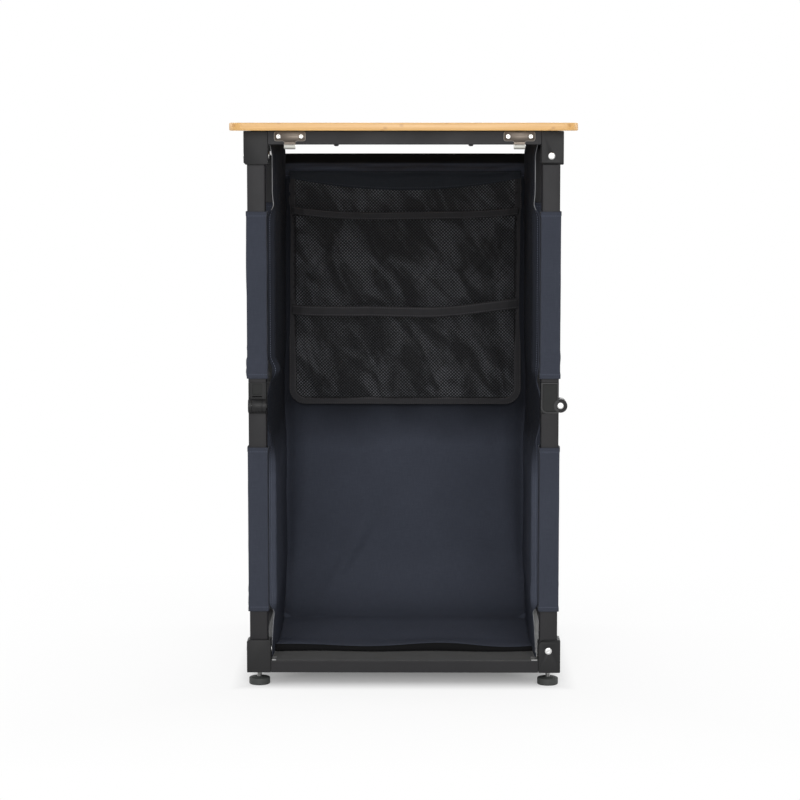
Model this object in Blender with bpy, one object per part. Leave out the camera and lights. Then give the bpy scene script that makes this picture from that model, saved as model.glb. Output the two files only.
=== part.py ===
"""Folding camping cabinet: a bamboo top on an aluminium frame whose four legs fold at a knee, with a
cloth body hung inside and a mesh organiser on its back wall.

Lengths are in metres, +Z is up, the open front faces -Y and the origin is on the floor under the middle.
Everything at a corner is modelled once at the front right corner and turned about Z for the other three,
because each leg folds along the next side of the square, like the blades of a pinwheel.
"""

import math

import bmesh
import bpy
from mathutils import Matrix, Vector

# Overall sizes
TABLETOP_SIDE = 0.480
TABLETOP_THICKNESS = 0.011
TABLETOP_CORNER_RADIUS = 0.018
TABLETOP_EDGE_RADIUS = 0.002
OVERALL_HEIGHT = 0.790
LEG_INSET = 0.036

# Clearances
SEAT_GAP = 0.0003
RUNNING_GAP = 0.0003
OVERRUN = 0.004

# Leg tubes and the cloth sleeves round them
TUBE_SIDE = 0.025
TUBE_WALL = 0.0015
TUBE_CORNER_RADIUS = 0.0018
SLEEVE_WALL = 0.001
SLEEVE_FREE_LENGTH = 0.1146
LOWER_SLEEVE_RISE = 0.056
UPPER_SLEEVE_RISE = 0.038
SLEEVE_CORNER_RADIUS = 0.003
FOLDED_SLEEVE_GAP = 0.0024

# Heights of the corner pivots
BASE_UNDERSIDE = 0.0189
BASE_PIVOT_RISE = 0.0315
TOP_PIVOT_DROP = 0.0343

# Corner blocks
BLOCK_WALL = 0.004
BLOCK_LIP = 0.0015
BLOCK_EDGE = 0.0007
SWING_GAP = 0.001
BASE_EAR_RISE = 0.0154
BASE_EAR_RADIUS = 0.0095
TOP_EAR_RADIUS = 0.005
FOLDED_BLOCK_GAP = 0.0025
EAR_CHAMFER = 0.003

# Rails
RAIL_DEPTH = 0.020
RAIL_SETBACK = 0.0013
RAIL_WALL = 0.0018
RAIL_EDGE = 0.0009
TOP_RAIL_HEIGHT = 0.0188
BASE_TUBE_HEIGHT = 0.0103
RAIL_LIP_WALL = 0.0022
FOLDED_RAIL_GAP = 0.0006
SPIGOT_LENGTH = 0.018

# Pins
PIN_RADIUS = 0.003
PIN_HEAD_RADIUS = 0.0049
PIN_HEAD_HEIGHT = 0.0012
PIN_HEAD_EDGE = 0.0005

# Knee fittings
KNUCKLE_RADIUS = 0.0095
KNUCKLE_LENGTH = 0.014
KNUCKLE_END_GAP = 0.0004
KNEE_SWING_GAP = 0.0005
CHEEK_WALL = 0.0017
CHEEK_LAND = 0.0008
CHEEK_CORNER_RADIUS = 0.009
UPPER_FITTING_RISE = 0.033
PLUG_GAP = 0.0006
PLUG_LENGTH = 0.030
FITTING_EDGE = 0.0006
RIM_WIDTH = 0.0022
RIM_HEIGHT = 0.0005
PANEL_RECESS = 0.0012
PANEL_WIDTH = 0.014
PANEL_HEIGHT = 0.017
PANEL_RISE = 0.0135

# Feet
FOOT_RADIUS = 0.0148
FOOT_HEIGHT = 0.009
FOOT_EDGE = 0.0012
FOOT_STEM_RADIUS = 0.0032
FOOT_COLLAR_RADIUS = 0.0062
FOOT_COLLAR_HEIGHT = 0.0022
FOOT_TRAVEL = 0.0045
FOOT_HOLE_ROOF = 0.0015
FOOT_STEM_END_GAP = 0.0005

# Bottom shelf
SHELF_THICKNESS = 0.004
SHELF_EDGE_GAP = 0.0123
SHELF_NOTCH_GAP = 0.0062
SHELF_EDGE = 0.0006

# Hook plates on the front rail
PLATE_WIDTH = 0.0435
PLATE_HEIGHT = 0.0132
PLATE_THICKNESS = 0.0012
PLATE_CORNER_RADIUS = 0.0025
PLATE_INSET = 0.0305
STEM_WIDTH = 0.0154
STEM_DROP = 0.007
STEM_FLARE = 0.002
STEM_CORNER_RADIUS = 0.0012
RIVET_SPACING = 0.0312
RIVET_RADIUS = 0.003
RIVET_HEIGHT = 0.0006

# Cloth body
CLOTH_THICKNESS = 0.0018
CLOTH_LEG_GAP = 0.0003
CLOTH_CORNER_GAP = 0.0006
CLOTH_SHELF_GAP = 0.0003
SIDE_WALL_TOP_DROP = 0.0087
REAR_WALL_TOP_DROP = 0.0353
WALL_FREE_LENGTH = 0.090
WALL_FREE_DRAW = 0.004
WALL_SAG = 0.0022
SAG_STEADY_SHARE = 0.6
SAG_RIPPLES = 1.5
HEM_SETBACK = 0.073
FLOOR_BEND_RADIUS = 0.060
HEM_ROLL_DROP = 0.0242
HEM_ROLL_HALF_HEIGHT = 0.007
HEM_ROLL_DEPTH = 0.007
HEM_LIFT = 0.0032
HEM_LIFTS = 2

# Mesh organiser on the rear wall
ORGANISER_SIDE_GAP = 0.009
ORGANISER_TOP_DROP = 0.0667
ORGANISER_HEIGHT = 0.357
ORGANISER_THICKNESS = 0.0016
ORGANISER_CORNER_RADIUS = 0.016
ORGANISER_BINDING = 0.012
POCKET_WALL = 0.0014
POCKET_DEPTH = 0.020
POCKET_SEAM_DEPTH = 0.007
POCKET_RISE = 0.055
POCKET_SIDE_RUN = 0.020
LOWER_POCKET_TOP_RISE = 0.142
UPPER_POCKET_LOW_RISE = 0.15
UPPER_POCKET_TOP_RISE = 0.299
LOWER_SEAM_SHARES = (0.34, 0.69)
UPPER_SEAM_SHARES = (0.27, 0.76)

# Colours and finishes: red, green, blue, roughness, metallic
FINISHES = {
    "bamboo": (0.80, 0.53, 0.24, 0.45, 0.0),
    "black_metal": (0.045, 0.045, 0.047, 0.45, 0.6),
    "black_plastic": (0.040, 0.040, 0.042, 0.50, 0.0),
    "steel": (0.60, 0.59, 0.57, 0.30, 1.0),
    "satin_plate": (0.46, 0.41, 0.36, 0.35, 1.0),
    "shelf_board": (0.050, 0.050, 0.052, 0.40, 0.0),
    "navy_cloth": (0.035, 0.042, 0.062, 0.90, 0.0),
    "black_mesh": (0.012, 0.012, 0.013, 0.80, 0.0),
    "foot_rubber": (0.060, 0.062, 0.060, 0.70, 0.0),
}

# Facets of round shapes and of cloth
ROUND_STEPS = 16
PIN_STEPS = 12
CORNER_STEPS = 2
EAR_STEPS = 4
WALL_COLUMNS, WALL_ROWS = 8, 16
REAR_COLUMNS, REAR_ROWS = 10, 30
POCKET_SPAN_COLUMNS, POCKET_ROWS = 5, 7
SMOOTH_ANGLE = math.radians(40)

# Each corner and side with its turn about Z from the one that is modelled
CORNER_TURNS = {"fr": 0, "rr": 90, "rl": 180, "fl": 270}
SIDE_TURNS = {"front": 0, "right": 90, "rear": 180, "left": 270}

# Places worked out from the sizes
tube_half = TUBE_SIDE / 2
tube_inner_half = tube_half - TUBE_WALL
sleeve_inner_half = tube_half + SEAT_GAP
sleeve_half = sleeve_inner_half + SLEEVE_WALL
knee_offset = sleeve_half + FOLDED_SLEEVE_GAP / 2
leg_x = TABLETOP_SIDE / 2 - LEG_INSET
leg_y = -leg_x
pin_bore_radius = PIN_RADIUS + RUNNING_GAP

base_pivot_z = BASE_UNDERSIDE + BASE_PIVOT_RISE
frame_top_z = OVERALL_HEIGHT - TABLETOP_THICKNESS - SEAT_GAP
top_pivot_z = frame_top_z - TOP_PIVOT_DROP
knee_z = (base_pivot_z + top_pivot_z) / 2
knee_x = leg_x + knee_offset
sleeve_length = knee_z - base_pivot_z - SLEEVE_FREE_LENGTH

channel_half = tube_half + RUNNING_GAP
block_half = channel_half + BLOCK_WALL
block_inner_x = leg_x - tube_half - BLOCK_LIP
block_outer_x = leg_x + block_half
channel_reach = tube_half + SWING_GAP
base_channel_floor = base_pivot_z - channel_reach
top_channel_roof = top_pivot_z + channel_reach
base_ear_top = base_pivot_z + BASE_EAR_RISE
top_ear_drop = 2 * knee_offset - BASE_EAR_RISE - FOLDED_BLOCK_GAP

rail_front_y = leg_y - block_half + RAIL_SETBACK
rail_back_y = rail_front_y + RAIL_DEPTH
rail_low_x = -leg_x + block_half + SEAT_GAP
rail_high_x = block_inner_x - SEAT_GAP
rail_lip_top = base_pivot_z - sleeve_half - FOLDED_RAIL_GAP
base_tube_top = BASE_UNDERSIDE + BASE_TUBE_HEIGHT
shelf_low = base_tube_top + SEAT_GAP
shelf_top = shelf_low + SHELF_THICKNESS

core_half = tube_half - CHEEK_WALL - SEAT_GAP
ear_start = KNUCKLE_LENGTH / 2 + KNUCKLE_END_GAP
knee_relief_radius = KNUCKLE_RADIUS + KNEE_SWING_GAP
cheek_drop = knee_relief_radius + CHEEK_LAND
lower_tube_top = knee_z - cheek_drop - SEAT_GAP
fitting_top = knee_z + UPPER_FITTING_RISE
upper_tube_low = fitting_top + SEAT_GAP
plug_half = tube_inner_half - PLUG_GAP

cloth_half = leg_x - sleeve_half - CLOTH_LEG_GAP - CLOTH_THICKNESS / 2
cloth_floor_z = shelf_top + CLOTH_SHELF_GAP + CLOTH_THICKNESS / 2
side_wall_rear_y = cloth_half - CLOTH_CORNER_GAP - CLOTH_THICKNESS
side_wall_top = frame_top_z - SIDE_WALL_TOP_DROP
rear_wall_top = frame_top_z - REAR_WALL_TOP_DROP
organiser_half = cloth_half - ORGANISER_SIDE_GAP
organiser_top = frame_top_z - ORGANISER_TOP_DROP
organiser_low = organiser_top - ORGANISER_HEIGHT


def clear_scene():
    for obj in list(bpy.data.objects):
        bpy.data.objects.remove(obj, do_unlink=True)


def new_material(name):
    red, green, blue, roughness, metallic = FINISHES[name]
    material = bpy.data.materials.new(name)
    material.use_nodes = True
    shader = material.node_tree.nodes["Principled BSDF"]
    shader.inputs["Base Color"].default_value = (red, green, blue, 1.0)
    shader.inputs["Roughness"].default_value = roughness
    shader.inputs["Metallic"].default_value = metallic
    return material


def arc(centre, radius, start, end, steps):
    """Points on an arc, both ends included, with the angles in degrees."""
    turns = [math.radians(start + (end - start) * i / steps) for i in range(steps + 1)]
    return [(centre[0] + radius * math.cos(t), centre[1] + radius * math.sin(t)) for t in turns]


def circle(centre, radius, steps=ROUND_STEPS):
    return arc(centre, radius, 0, 360, steps)[:-1]


def rounded(low, high, radii, steps=CORNER_STEPS):
    """A rectangle with a radius at each corner, from the low corner round by the +first-axis side."""
    corners = ((low[0], low[1]), (high[0], low[1]), (high[0], high[1]), (low[0], high[1]))
    inward = ((1, 1), (-1, 1), (-1, -1), (1, -1))
    outline = []
    for k, (corner, side, radius) in enumerate(zip(corners, inward, radii)):
        if radius == 0:
            outline.append(corner)
            continue
        centre = (corner[0] + side[0] * radius, corner[1] + side[1] * radius)
        outline += arc(centre, radius, 180 + 90 * k, 270 + 90 * k, steps)
    return outline


def in_space(axis, pair, along):
    """A point from its two outline coordinates and its place along the axis."""
    first, second = pair
    return {"X": (along, first, second), "Y": (first, along, second), "Z": (first, second, along)}[axis]


def finished(bm, name):
    """The mesh of a closed bmesh, with its faces pointing out and its round sides smooth."""
    bmesh.ops.recalc_face_normals(bm, faces=bm.faces)
    mesh = bpy.data.meshes.new(name)
    bm.to_mesh(mesh)
    bm.free()
    mesh.shade_smooth()
    mesh.set_sharp_from_angle(angle=SMOOTH_ANGLE)
    return mesh


def prism(outline, axis, low, high, edge=0.0, edge_steps=1, square_end=None):
    """The outline pushed along an axis. Its rims are bevelled, except the stretch at height square_end."""
    bm = bmesh.new()
    ring = [bm.verts.new(in_space(axis, pair, low)) for pair in outline]
    face = bm.faces.new(ring)
    pushed = bmesh.ops.extrude_face_region(bm, geom=[face])
    moved = [item for item in pushed["geom"] if isinstance(item, bmesh.types.BMVert)]
    bmesh.ops.translate(bm, verts=moved, vec=Vector(in_space(axis, (0, 0), high - low)))
    bmesh.ops.recalc_face_normals(bm, faces=bm.faces)
    if edge > 0:
        slot = "XYZ".index(axis)
        rims = [e for e in bm.edges if abs(e.verts[0].co[slot] - e.verts[1].co[slot]) < edge / 2]
        if square_end is not None:
            near = edge / 2
            rims = [e for e in rims if any(abs(v.co.z - square_end) > near for v in e.verts)]
        bmesh.ops.bevel(bm, geom=rims, offset=edge, segments=edge_steps, profile=0.5,
                        affect="EDGES", material=-1)
    return finished(bm, "prism")


def turned(profile, place, steps):
    """A profile of (radius, height) points, closed on the axis, spun about Z and then put in place."""
    bm = bmesh.new()
    points = [bm.verts.new((radius, 0, height)) for radius, height in profile]
    edges = [bm.edges.new(pair) for pair in zip(points, points[1:])]
    bmesh.ops.spin(bm, geom=points + edges, cent=(0, 0, 0), axis=(0, 0, 1), angle=math.tau,
                   steps=steps, use_merge=True)
    bmesh.ops.remove_doubles(bm, verts=bm.verts, dist=SEAT_GAP / 10)
    bmesh.ops.transform(bm, matrix=place, verts=bm.verts)
    return finished(bm, "turned")


def combined(operation, first, others):
    """The first mesh with the others joined to it or cut from it."""
    objects = [bpy.data.objects.new("blank", mesh) for mesh in [first, *others]]
    for obj in objects:
        bpy.context.collection.objects.link(obj)
    for other in objects[1:]:
        modifier = objects[0].modifiers.new(operation, "BOOLEAN")
        modifier.operation = operation
        modifier.solver = "EXACT"
        modifier.object = other
    bpy.context.view_layer.update()
    graph = bpy.context.evaluated_depsgraph_get()
    mesh = bpy.data.meshes.new_from_object(objects[0].evaluated_get(graph))
    for obj in objects:
        bpy.data.objects.remove(obj, do_unlink=True)
    mesh.shade_smooth()
    mesh.set_sharp_from_angle(angle=SMOOTH_ANGLE)
    return mesh


def joined(first, *others):
    return combined("UNION", first, others)


def cut(first, *others):
    return combined("DIFFERENCE", first, others)


def turn_about_z(degrees):
    return Matrix.Rotation(math.radians(degrees), 4, "Z")


def place(name, mesh, finish, degrees=0, pivot=None):
    """A node from a mesh modelled at the front right corner or at the front side, turned to its own."""
    obj = bpy.data.objects.new(name, mesh)
    bpy.context.collection.objects.link(obj)
    obj.matrix_world = turn_about_z(degrees)
    if not mesh.materials:
        mesh.materials.append(finish)
    if pivot is not None:
        obj.parent = pivot
        obj.matrix_parent_inverse = pivot.matrix_basis.inverted()
    return obj


def pivot_empty(name, point, degrees):
    """An empty on a joint's axis, which the pieces that turn there hang on."""
    empty = bpy.data.objects.new(name, None)
    bpy.context.collection.objects.link(empty)
    empty.empty_display_size = TUBE_SIDE
    empty.matrix_basis = turn_about_z(degrees) @ Matrix.Translation(point)
    return empty


def rod(radius, centre, low, high, steps=ROUND_STEPS):
    """A round bar along Y through an (x, z) centre."""
    return prism(circle(centre, radius, steps), "Y", low, high)


def tabletop_mesh():
    half = TABLETOP_SIDE / 2
    outline = rounded((-half, -half), (half, half), [TABLETOP_CORNER_RADIUS] * 4, steps=EAR_STEPS)
    return prism(outline, "Z", OVERALL_HEIGHT - TABLETOP_THICKNESS, OVERALL_HEIGHT,
                 edge=TABLETOP_EDGE_RADIUS, edge_steps=2)


def spigots(low_z, high_z):
    """The two plugs of a corner block: one for the rail on its fold side, one for the rail behind it."""
    grip = RAIL_WALL + SEAT_GAP
    fold_side = prism(
        rounded((rail_front_y + grip, low_z + grip), (rail_back_y - grip, high_z - grip), [RAIL_EDGE] * 4, 1),
        "X", block_inner_x - SPIGOT_LENGTH, block_inner_x + BLOCK_WALL)
    outer_x = -rail_front_y
    inner_x = -rail_back_y
    ear_side = prism(
        rounded((inner_x + grip, low_z + grip), (outer_x - grip, high_z - grip), [RAIL_EDGE] * 4, 1),
        "Y", leg_y + channel_half + BLOCK_WALL / 2, leg_y + block_half + SPIGOT_LENGTH)
    return fold_side, ear_side


def block_mesh(outline, pivot_z, channel_span, rail_span, extra_cuts):
    """A corner block with a leg channel that is open at one end and on the fold side."""
    body = prism(outline, "Y", leg_y - block_half, leg_y + block_half, edge=BLOCK_EDGE)
    channel = prism(
        rounded((block_inner_x - OVERRUN, leg_y - channel_half), (leg_x + channel_half, leg_y + channel_half),
                [0, 0, 0, 0]),
        "Z", *channel_span)
    bore = rod(pin_bore_radius, (leg_x, pivot_z), leg_y - block_half - OVERRUN, leg_y + block_half + OVERRUN,
               PIN_STEPS)
    return cut(joined(body, *spigots(*rail_span)), channel, bore, *extra_cuts)


def ear_chamfer(edge_z, direction):
    """A wedge that takes the outer edge off the front ear, above (1) or below (-1) the height given."""
    front = leg_y - block_half
    reach = EAR_CHAMFER + OVERRUN
    outline = [(front - OVERRUN, edge_z + direction * OVERRUN),
               (front - OVERRUN, edge_z - direction * reach),
               (front + reach, edge_z + direction * OVERRUN)]
    return prism(outline, "X", block_inner_x - OVERRUN, block_outer_x + OVERRUN)


def base_corner_mesh():
    outline = rounded((block_inner_x, BASE_UNDERSIDE), (block_outer_x, base_ear_top),
                      [BLOCK_LIP, BLOCK_LIP, BLOCK_LIP, BASE_EAR_RADIUS], EAR_STEPS)
    stem_hole = prism(circle((leg_x, leg_y), FOOT_STEM_RADIUS + SEAT_GAP, PIN_STEPS), "Z",
                      BASE_UNDERSIDE - OVERRUN, base_channel_floor - FOOT_HOLE_ROOF)
    return block_mesh(outline, base_pivot_z, (base_channel_floor, base_ear_top + OVERRUN),
                      (BASE_UNDERSIDE, base_tube_top), [stem_hole, ear_chamfer(base_ear_top, 1)])


def top_corner_mesh():
    low = top_pivot_z - top_ear_drop
    outline = rounded((block_inner_x, low), (block_outer_x, frame_top_z),
                      [TOP_EAR_RADIUS, BLOCK_LIP, BLOCK_LIP, BLOCK_LIP], EAR_STEPS)
    return block_mesh(outline, top_pivot_z, (low - OVERRUN, top_channel_roof),
                      (frame_top_z - TOP_RAIL_HEIGHT, frame_top_z), [ear_chamfer(low, -1)])


def rail_bore(low_z, high_z):
    inner = rounded((rail_front_y + RAIL_WALL, low_z + RAIL_WALL),
                    (rail_back_y - RAIL_WALL, high_z - RAIL_WALL), [0, 0, 0, 0])
    return prism(inner, "X", rail_low_x - OVERRUN, rail_high_x + OVERRUN)


def top_rail_mesh():
    low_z = frame_top_z - TOP_RAIL_HEIGHT
    outline = rounded((rail_front_y, low_z), (rail_back_y, frame_top_z), [RAIL_EDGE] * 4, 2)
    return cut(prism(outline, "X", rail_low_x, rail_high_x), rail_bore(low_z, frame_top_z))


def base_rail_mesh():
    """A box tube whose front wall stands on as a lip, so that the shelf lies behind it."""
    lip_back = rail_front_y + RAIL_LIP_WALL
    half_lip = RAIL_LIP_WALL / 2
    outline = rounded((rail_front_y, BASE_UNDERSIDE), (rail_back_y, base_tube_top), [RAIL_EDGE] * 4, 2)
    lip = [(rail_front_y, base_tube_top - RAIL_WALL), (lip_back, base_tube_top - RAIL_WALL)]
    lip += arc((rail_front_y + half_lip, rail_lip_top - half_lip), half_lip, 0, 180, 4)
    return cut(joined(prism(outline, "X", rail_low_x, rail_high_x), prism(lip, "X", rail_low_x, rail_high_x)),
               rail_bore(BASE_UNDERSIDE, base_tube_top))


def tube_mesh(pivot_z, square_z):
    """A leg tube: round at its pivot end, square at its knee end, with a pin bore across."""
    if pivot_z < square_z:
        outline = arc((leg_x, pivot_z), tube_half, 180, 360, 2 * EAR_STEPS)
        outline += [(leg_x + tube_half, square_z), (leg_x - tube_half, square_z)]
    else:
        outline = arc((leg_x, pivot_z), tube_half, 0, 180, 2 * EAR_STEPS)
        outline += [(leg_x - tube_half, square_z), (leg_x + tube_half, square_z)]
    outer = prism(outline, "Y", leg_y - tube_half, leg_y + tube_half, edge=TUBE_CORNER_RADIUS,
                  square_end=square_z)
    low = min(pivot_z, square_z) - TUBE_SIDE
    high = max(pivot_z, square_z) + TUBE_SIDE
    hollow = prism(
        rounded((leg_x - tube_inner_half, leg_y - tube_inner_half),
                (leg_x + tube_inner_half, leg_y + tube_inner_half), [0, 0, 0, 0]),
        "Z", low, high)
    bore = rod(pin_bore_radius, (leg_x, pivot_z), leg_y - TUBE_SIDE, leg_y + TUBE_SIDE, PIN_STEPS)
    return cut(outer, hollow, bore)


def sleeve_mesh(low_z):
    def square(half, radius):
        return rounded((leg_x - half, leg_y - half), (leg_x + half, leg_y + half), [radius] * 4)

    outer = prism(square(sleeve_half, SLEEVE_CORNER_RADIUS), "Z", low_z, low_z + sleeve_length)
    inner = prism(square(sleeve_inner_half, TUBE_CORNER_RADIUS), "Z", low_z - OVERRUN,
                  low_z + sleeve_length + OVERRUN)
    return cut(outer, inner)


def plug(low_z, high_z):
    outline = rounded((leg_x - plug_half, leg_y - plug_half), (leg_x + plug_half, leg_y + plug_half),
                      [FITTING_EDGE] * 4, 1)
    return prism(outline, "Z", low_z, high_z)


def both_ears(radius, start, end, centre, steps=ROUND_STEPS):
    """The same round bar on both sides of the leg's middle plane."""
    return [rod(radius, centre, leg_y - end, leg_y - start, steps),
            rod(radius, centre, leg_y + start, leg_y + end, steps)]


def knee_upper_mesh():
    """The upper half of a knee: a body under the tube, two cheeks over the lower half, and two ears."""
    centre = (knee_x, knee_z)
    left, right = leg_x - tube_half, leg_x + tube_half
    body = prism(rounded((left, knee_z + SEAT_GAP / 2), (right, fitting_top), [0, 0, 0, 0]), "Y",
                 leg_y - tube_half, leg_y + tube_half, edge=FITTING_EDGE)
    cheek = rounded((left, knee_z - cheek_drop), (right, knee_z + CHEEK_CORNER_RADIUS),
                    [CHEEK_CORNER_RADIUS, FITTING_EDGE, 0, 0], EAR_STEPS)
    inside = tube_half - CHEEK_WALL
    cheeks = [prism(cheek, "Y", leg_y - tube_half, leg_y - inside),
              prism(cheek, "Y", leg_y + inside, leg_y + tube_half)]
    rim_inner = CHEEK_CORNER_RADIUS - RIM_WIDTH
    face = rounded((left + RIM_WIDTH, knee_z - cheek_drop + RIM_WIDTH),
                   (right - RIM_WIDTH, fitting_top - RIM_WIDTH), [rim_inner, 0, 0, 0], EAR_STEPS)
    deep = tube_half - RIM_HEIGHT
    faces = [prism(face, "Y", leg_y - tube_half - OVERRUN, leg_y - deep),
             prism(face, "Y", leg_y + deep, leg_y + tube_half + OVERRUN)]
    shell = cut(joined(body, *cheeks, plug(fitting_top - OVERRUN, fitting_top + PLUG_LENGTH)), *faces)
    panel = prism(
        rounded((leg_y - PANEL_WIDTH / 2, knee_z + PANEL_RISE),
                (leg_y + PANEL_WIDTH / 2, knee_z + PANEL_RISE + PANEL_HEIGHT), [0, 0, 0, 0]),
        "X", right - PANEL_RECESS, right + OVERRUN)
    relief = rod(knee_relief_radius, centre, leg_y - ear_start, leg_y + ear_start)
    bore = rod(pin_bore_radius, centre, leg_y - TUBE_SIDE, leg_y + TUBE_SIDE, PIN_STEPS)
    eared = joined(shell, *both_ears(KNUCKLE_RADIUS, ear_start - SEAT_GAP / 2, tube_half, centre))
    return cut(eared, relief, panel, bore)


def knee_lower_mesh():
    """The lower half of a knee: a core on the tube, the middle knuckle, and the pin pressed into it."""
    centre = (knee_x, knee_z)
    core = prism(rounded((leg_x - tube_half, knee_z - cheek_drop), (leg_x + tube_half, knee_z - SEAT_GAP / 2),
                         [0, 0, 0, 0]), "Y", leg_y - core_half, leg_y + core_half)
    body = joined(core, plug(lower_tube_top - PLUG_LENGTH, knee_z - cheek_drop + CHEEK_LAND))
    relief_start = ear_start - RUNNING_GAP
    body = cut(body, *both_ears(knee_relief_radius, relief_start, tube_half, centre))
    knuckle = rod(KNUCKLE_RADIUS, centre, leg_y - KNUCKLE_LENGTH / 2, leg_y + KNUCKLE_LENGTH / 2)
    return joined(body, knuckle, headed_pin(centre, tube_half))


def headed_pin(centre, grip_half):
    """A pin along Y with a flat head outside each side of what it grips."""
    head_in = grip_half + RUNNING_GAP
    head_out = head_in + PIN_HEAD_HEIGHT
    profile = [(0, -head_out), (PIN_HEAD_RADIUS - PIN_HEAD_EDGE, -head_out),
               (PIN_HEAD_RADIUS, -head_out + PIN_HEAD_EDGE), (PIN_HEAD_RADIUS, -head_in),
               (PIN_RADIUS, -head_in)]
    profile += [(radius, -height) for radius, height in reversed(profile)]
    put = Matrix.Translation((centre[0], leg_y, centre[1])) @ Matrix.Rotation(math.pi / 2, 4, "X")
    return turned(profile, put, PIN_STEPS)


def foot_mesh():
    """A levelling foot: a disc with a collar and a stem that screws up into the corner block."""
    stem_top = base_channel_floor - FOOT_HOLE_ROOF - FOOT_TRAVEL - FOOT_STEM_END_GAP
    collar_top = FOOT_HEIGHT + FOOT_COLLAR_HEIGHT
    profile = [(0, 0), (FOOT_RADIUS - FOOT_EDGE, 0), (FOOT_RADIUS, FOOT_EDGE),
               (FOOT_RADIUS, FOOT_HEIGHT - FOOT_EDGE), (FOOT_RADIUS - FOOT_EDGE, FOOT_HEIGHT),
               (FOOT_COLLAR_RADIUS, FOOT_HEIGHT), (FOOT_COLLAR_RADIUS, collar_top),
               (FOOT_STEM_RADIUS, collar_top), (FOOT_STEM_RADIUS, stem_top), (0, stem_top)]
    return turned(profile, Matrix.Translation((leg_x, leg_y, 0)), PIN_STEPS)


def shelf_mesh():
    """The bottom board: its edges lie on the rails' tubes and its corners are notched round the blocks."""
    reach = -rail_front_y - RAIL_LIP_WALL - SHELF_EDGE_GAP
    notch = -leg_y - block_half - SHELF_NOTCH_GAP
    quarter = [(notch, -reach), (notch, -notch), (reach, -notch)]
    outline = []
    for degrees in (0, 90, 180, 270):
        turn = turn_about_z(degrees)
        outline += [tuple((turn @ Vector((x, y, 0)))[:2]) for x, y in quarter]
    return prism(outline, "Z", shelf_low, shelf_top, edge=SHELF_EDGE)


def hook_plate_mesh(middle_x):
    """A T-shaped plate riveted to the front rail, with its hook tongue hanging below the rail."""
    plate_top = frame_top_z - RAIL_EDGE
    plate_low = plate_top - PLATE_HEIGHT
    stem_low = frame_top_z - TOP_RAIL_HEIGHT - STEM_DROP
    half, stem = PLATE_WIDTH / 2, STEM_WIDTH / 2
    outline = arc((middle_x + stem - STEM_CORNER_RADIUS, stem_low + STEM_CORNER_RADIUS),
                  STEM_CORNER_RADIUS, -90, 0, 2)
    outline += [(middle_x + stem, plate_low - STEM_FLARE), (middle_x + stem + STEM_FLARE, plate_low)]
    corner = PLATE_CORNER_RADIUS
    outline += arc((middle_x + half - corner, plate_low + corner), corner, -90, 0, 2)
    outline += arc((middle_x + half - corner, plate_top - corner), corner, 0, 90, 2)
    mirrored = [(2 * middle_x - x, z) for x, z in reversed(outline)]
    back_y = rail_front_y - SEAT_GAP
    front_y = back_y - PLATE_THICKNESS
    plate = prism(outline + mirrored, "Y", front_y, back_y)
    rivet_z = (plate_low + plate_top) / 2
    rivets = [rod(RIVET_RADIUS, (middle_x + side * RIVET_SPACING / 2, rivet_z), front_y - RIVET_HEIGHT,
                  back_y - PLATE_THICKNESS / 2, PIN_STEPS) for side in (-1, 1)]
    return joined(plate, *rivets)


def cloth_mesh(columns, rows, point_of, thickness=CLOTH_THICKNESS):
    """A closed sheet: a grid whose points come from point_of(across, along), each from 0 to 1, made thick."""
    bm = bmesh.new()
    bmesh.ops.create_grid(bm, x_segments=columns, y_segments=rows, size=0.5)
    for vert in bm.verts:
        vert.co = point_of(vert.co.x + 0.5, vert.co.y + 0.5)
    mesh = bpy.data.meshes.new("cloth")
    bm.to_mesh(mesh)
    bm.free()
    obj = bpy.data.objects.new("cloth", mesh)
    bpy.context.collection.objects.link(obj)
    solidify = obj.modifiers.new("thickness", "SOLIDIFY")
    solidify.thickness = thickness
    solidify.offset = 0
    solidify.use_even_offset = True
    bpy.context.view_layer.update()
    thick = bpy.data.meshes.new_from_object(obj.evaluated_get(bpy.context.evaluated_depsgraph_get()))
    bpy.data.objects.remove(obj, do_unlink=True)
    bm = bmesh.new()
    bm.from_mesh(thick)
    return finished(bm, "cloth")


def bump(position, centre, width):
    """A smooth hump: 1 at the centre, 0 at a width to either side."""
    distance = abs(position - centre) / width
    return 0.5 + 0.5 * math.cos(math.pi * distance) if distance < 1 else 0.0


def wall_inset(y, z):
    """How far a side wall stands in from its plane: it sags between its legs, and its front edge draws in
    near the foot and just under the top block, where no sleeve holds it."""
    across = (y + cloth_half) / (side_wall_rear_y + cloth_half)
    along = (z - cloth_floor_z) / (side_wall_top - cloth_floor_z)
    ripple = (1 - SAG_STEADY_SHARE) * math.sin(math.tau * (along * SAG_RIPPLES + across))
    sag = WALL_SAG * math.sin(math.pi * across) * (SAG_STEADY_SHARE + ripple)
    free = max(bump(z, cloth_floor_z, WALL_FREE_LENGTH),
               bump(z, side_wall_top - WALL_FREE_LENGTH, WALL_FREE_LENGTH))
    return sag + WALL_FREE_DRAW * free * (1 - across) ** 2


def side_wall_mesh(side):
    """A side wall between two legs, from the shelf up behind the top rail."""
    def point_of(across, along):
        y = -cloth_half + (side_wall_rear_y + cloth_half) * across
        z = cloth_floor_z + (side_wall_top - cloth_floor_z) * along
        return Vector((side * (cloth_half - wall_inset(y, z)), y, z))

    return cloth_mesh(WALL_COLUMNS, WALL_ROWS, point_of)


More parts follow.
